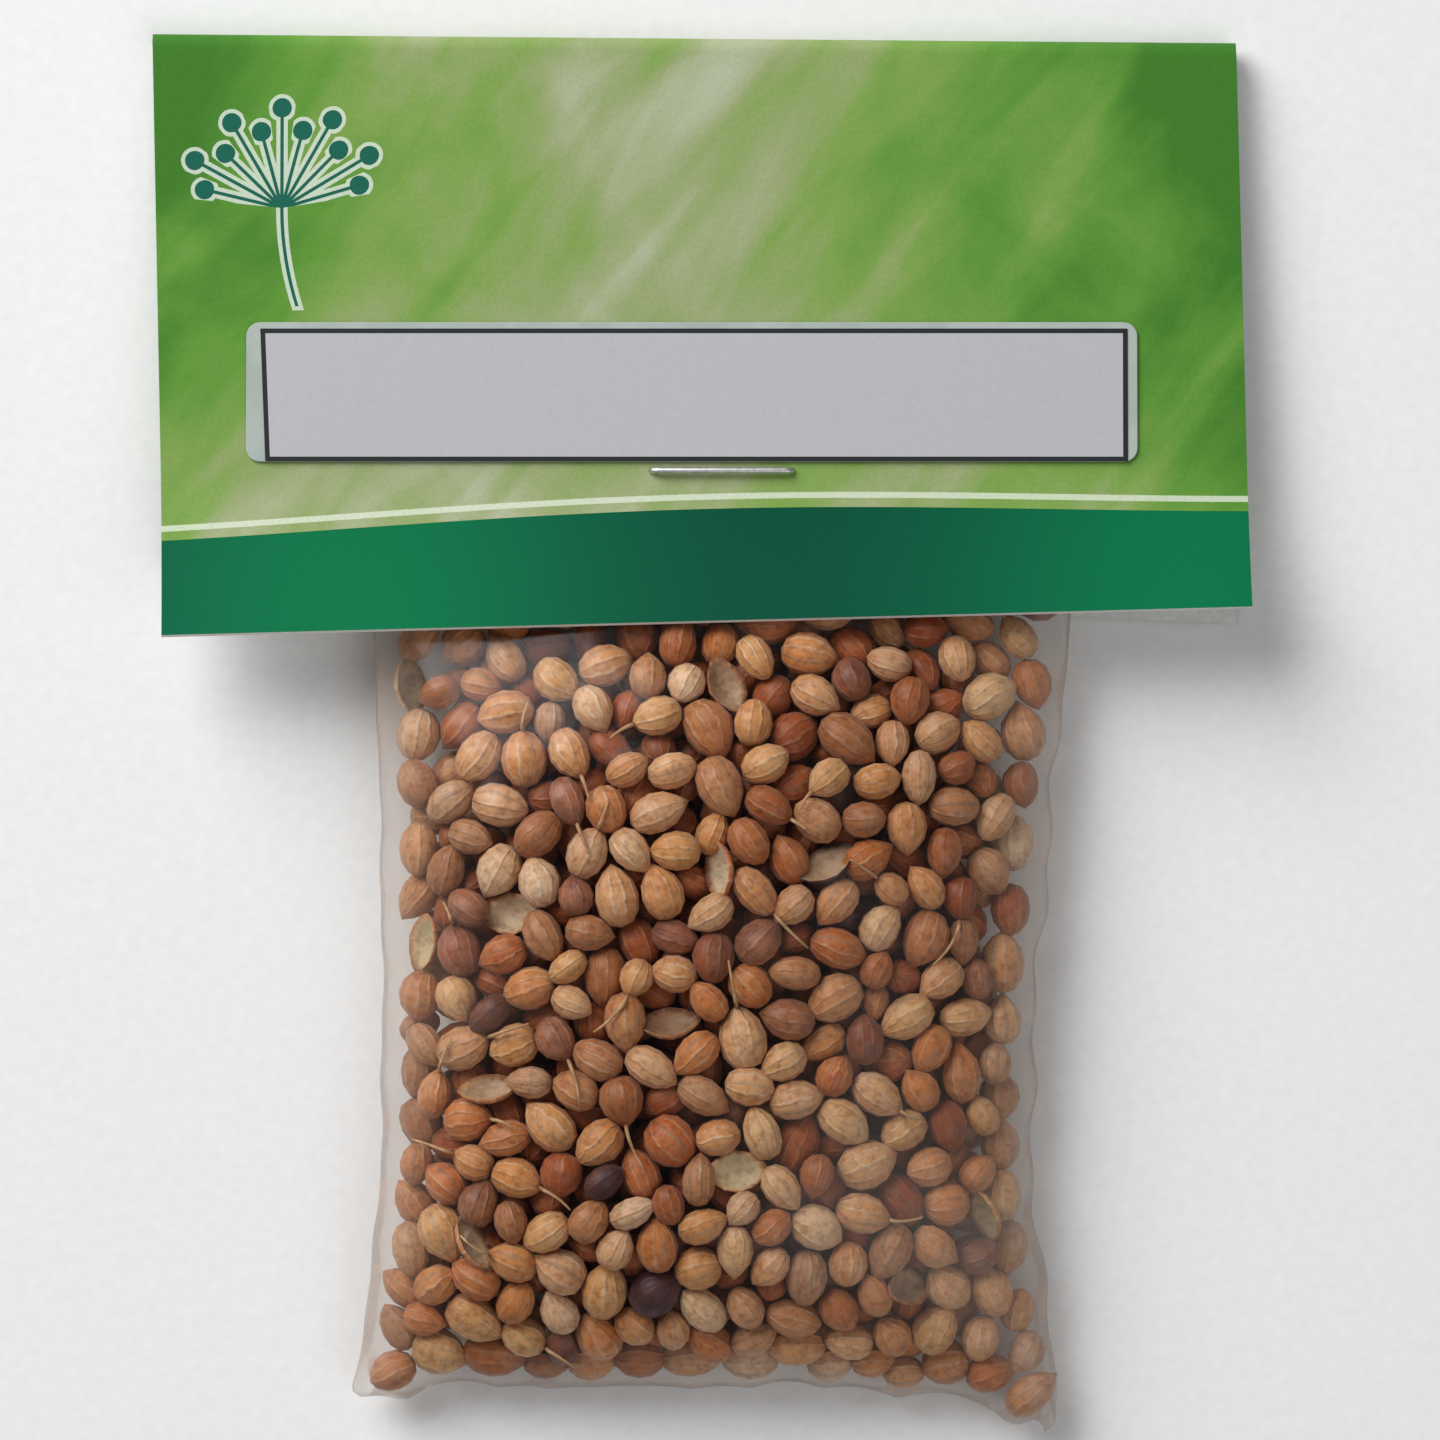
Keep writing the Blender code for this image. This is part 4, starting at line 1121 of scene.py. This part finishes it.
# %% Shape of a plate
LABEL_WIDTH, LABEL_HEIGHT = 77.6 * MM, 12.2 * MM
LABEL_X, LABEL_Y, LABEL_CORNER = -0.75 * MM, 29.6 * MM, 1.2 * MM
PAPER_WIDTH, PAPER_HEIGHT, FRAME_LINE = 75.3 * MM, 11.6 * MM, 0.42 * MM
PAPER_X, PAPER_Y = -0.45 * MM, 29.35 * MM
PAPER_SLANT, PAPER_CORNER = 0.04, 0.06 * MM  # its left end was cut at a slight slant
LAMINATE_LAYER = (0.2 * MM, 0.05 * MM, 0.1 * MM)  # thickness, bevel and lift off the card
PAPER_LAYER = (0.06 * MM, 0.01 * MM, 0.31 * MM)


def rounded_ring(width, height, corner, steps=6):
    """Points round a rectangle whose corners are quarter circles."""
    quarter = np.linspace(0, np.pi / 2, steps)
    angle = (np.arange(4)[:, None] * np.pi / 2 + quarter).ravel()
    side_x = np.repeat([1, -1, -1, 1], steps) * (width / 2 - corner)
    side_y = np.repeat([1, 1, -1, -1], steps) * (height / 2 - corner)
    return np.stack([side_x + corner * np.cos(angle), side_y + corner * np.sin(angle)], axis=-1)


def plate(name, centre, width, height, corner, thickness, bevel, lift, material, slant=0.0):
    """A thin plate on the front panel: rings from its lower face, up its edge, to its top.

    On its left side x shrinks by the slant times y.
    """
    rings = []
    for inset, z in ((bevel, 0), (0, bevel), (0, thickness - bevel), (bevel, thickness)):
        outline = rounded_ring(width - 2 * inset, height - 2 * inset, corner - inset)
        rings.append(np.column_stack([outline, np.full(len(outline), z)]))
    local = np.array(rings)
    local[..., 0] -= slant * np.where(local[..., 0] < 0, local[..., 1], 0)
    around = local.shape[1]
    slope = math.atan(CARD_SLOPE)
    x = centre[0] + local[..., 0]
    y = centre[1] + local[..., 1] * math.cos(slope) + local[..., 2] * math.sin(slope)
    z = (stack_height(centre[1]) + HALF_STACK + CARD_THICKNESS / 2 + lift
         - local[..., 1] * math.sin(slope) + local[..., 2] * math.cos(slope))
    faces = grid_faces(4, around, wrap=True).tolist()
    faces += [tuple(range(around))[::-1], tuple(range(3 * around, 4 * around))]
    return make_piece(name, np.stack([x, y, z], axis=-1), faces, material, smooth=False)


# %% [markdown]
# The laminate is milky where it is sealed to itself, satin, a little greener than the paper
# because the card shows through. The paper is smooth printer paper seen through the film, and
# its frame is printed: dark where a point is within one line's width of the paper's edge.

# %% Laminate and paper
laminate = grained_material("laminating_film", 300.0, 3.0, [(0.3, "#a6b1ab"), (0.7, "#b6beb9")],
                            Roughness=0.22, IOR=1.5)
laminate_plate = plate("label_laminate", (LABEL_X, LABEL_Y), LABEL_WIDTH, LABEL_HEIGHT,
                       LABEL_CORNER, *LAMINATE_LAYER, laminate)
dress(laminate_plate, "label", "label_strip")

label_paper, tree, shader = new_material("laser_printed_paper", Roughness=0.5)
objects = add(tree, "TexCoord").outputs["Object"]
centred = add(tree, "Mapping", {"Vector": objects, "Location": (-PAPER_X, -PAPER_Y, 0)})
plan = add(tree, "SeparateXYZ", centred).outputs
minus_x = add(tree, "Math MULTIPLY", plan["X"], -1.0)
to_left = add(tree, "Math MULTIPLY_ADD", plan["Y"], -PAPER_SLANT, minus_x)
to_side = add(tree, "Math MAXIMUM", plan["X"], to_left)
edge_x = add(tree, "Math SUBTRACT", to_side, PAPER_WIDTH / 2 - FRAME_LINE)
edge_y = add(tree, "Math SUBTRACT", add(tree, "Math ABSOLUTE", plan["Y"]),
             PAPER_HEIGHT / 2 - FRAME_LINE)
outermost = add(tree, "Math MAXIMUM", edge_x, edge_y)
on_line = add(tree, "Math GREATER_THAN", outermost, 0.0)
fibre = add(tree, "TexNoise", {"Vector": objects, "Scale": 2600.0, "Detail": 4.0})
white = add(tree, "ValToRGB", {"Fac": fibre}, stops=[(0.3, "#b4b5ba"), (0.7, "#b9babf")])
framed = paint_over(tree, white, on_line, linear("#111316"))
tree.links.new(framed.outputs[2], shader.inputs["Base Color"])
paper_plate = plate("label_paper", (PAPER_X, PAPER_Y), PAPER_WIDTH, PAPER_HEIGHT, PAPER_CORNER,
                    *PAPER_LAYER, label_paper, PAPER_SLANT)
dress(paper_plate, "label")
print("label of paper and laminate")

# %% [markdown]
# ## The staple
#
# One common office staple: half a millimetre of zinc-coated steel wire. It is one path, clinch,
# leg, crown, leg, clinch, with a quarter turn at each bend, and a round section carried along
# it. Zinc is a bright grey metal, satin where the jaws of the stapler rubbed it.

# %% Staple
STAPLE_CROWN, WIRE_RADIUS, STAPLE_CORNER = 12.9 * MM, 0.28 * MM, 0.7 * MM
CLINCH_LENGTH, CLINCH_SAG = 4.6 * MM, 0.25 * MM
STACK = 1.5 * MM + WIRE_RADIUS


def staple_path(steps=7):
    """Middle of the wire: clinch, leg, crown, leg, clinch, with a quarter turn at each bend."""
    crown, clinch = NECK_Z + STACK, NECK_Z - STACK - CLINCH_SAG
    half, bend = STAPLE_CROWN / 2 - WIRE_RADIUS, STAPLE_CORNER
    turn = np.linspace(0, np.pi / 2, steps)
    top = np.stack([half - bend + bend * np.sin(turn), crown - bend + bend * np.cos(turn)], axis=1)
    low = np.stack([half - bend + bend * np.cos(turn), clinch + bend - bend * np.sin(turn)], axis=1)
    tip = [(half - CLINCH_LENGTH, clinch + CLINCH_SAG)]
    right = np.concatenate([top, low, tip])
    left = right[::-1] * (-1, 1)
    xz = np.concatenate([left, right])
    return np.stack([STAPLE_X + xz[:, 0], np.full(len(xz), STAPLE_Y), xz[:, 1]], axis=1)


zinc_wire = grained_material("zinc_coated_steel_wire", 2600.0, 3.0,
                             [(0.3, "#c8c8c6"), (0.7, "#e6e6e4")], Metallic=1.0, Roughness=0.42)
wire_path = staple_path()[None]
wire_points, wire_faces = swept_tubes(wire_path, np.full(wire_path.shape[:2], WIRE_RADIUS), 12,
                                      (0, 1, 0))
staple = make_piece("staple_wire", wire_points, wire_faces, zinc_wire)
dress(staple, "wire", "staple")
wire_length = np.linalg.norm(np.diff(wire_path[0], axis=0), axis=1).sum()
print(f"{wire_length / MM:.1f} mm of staple wire")

# %% [markdown]
# ## Size
#
# The dressed bag must keep to the CAD model's box.

# %% Sizes
bpy.context.view_layer.update()
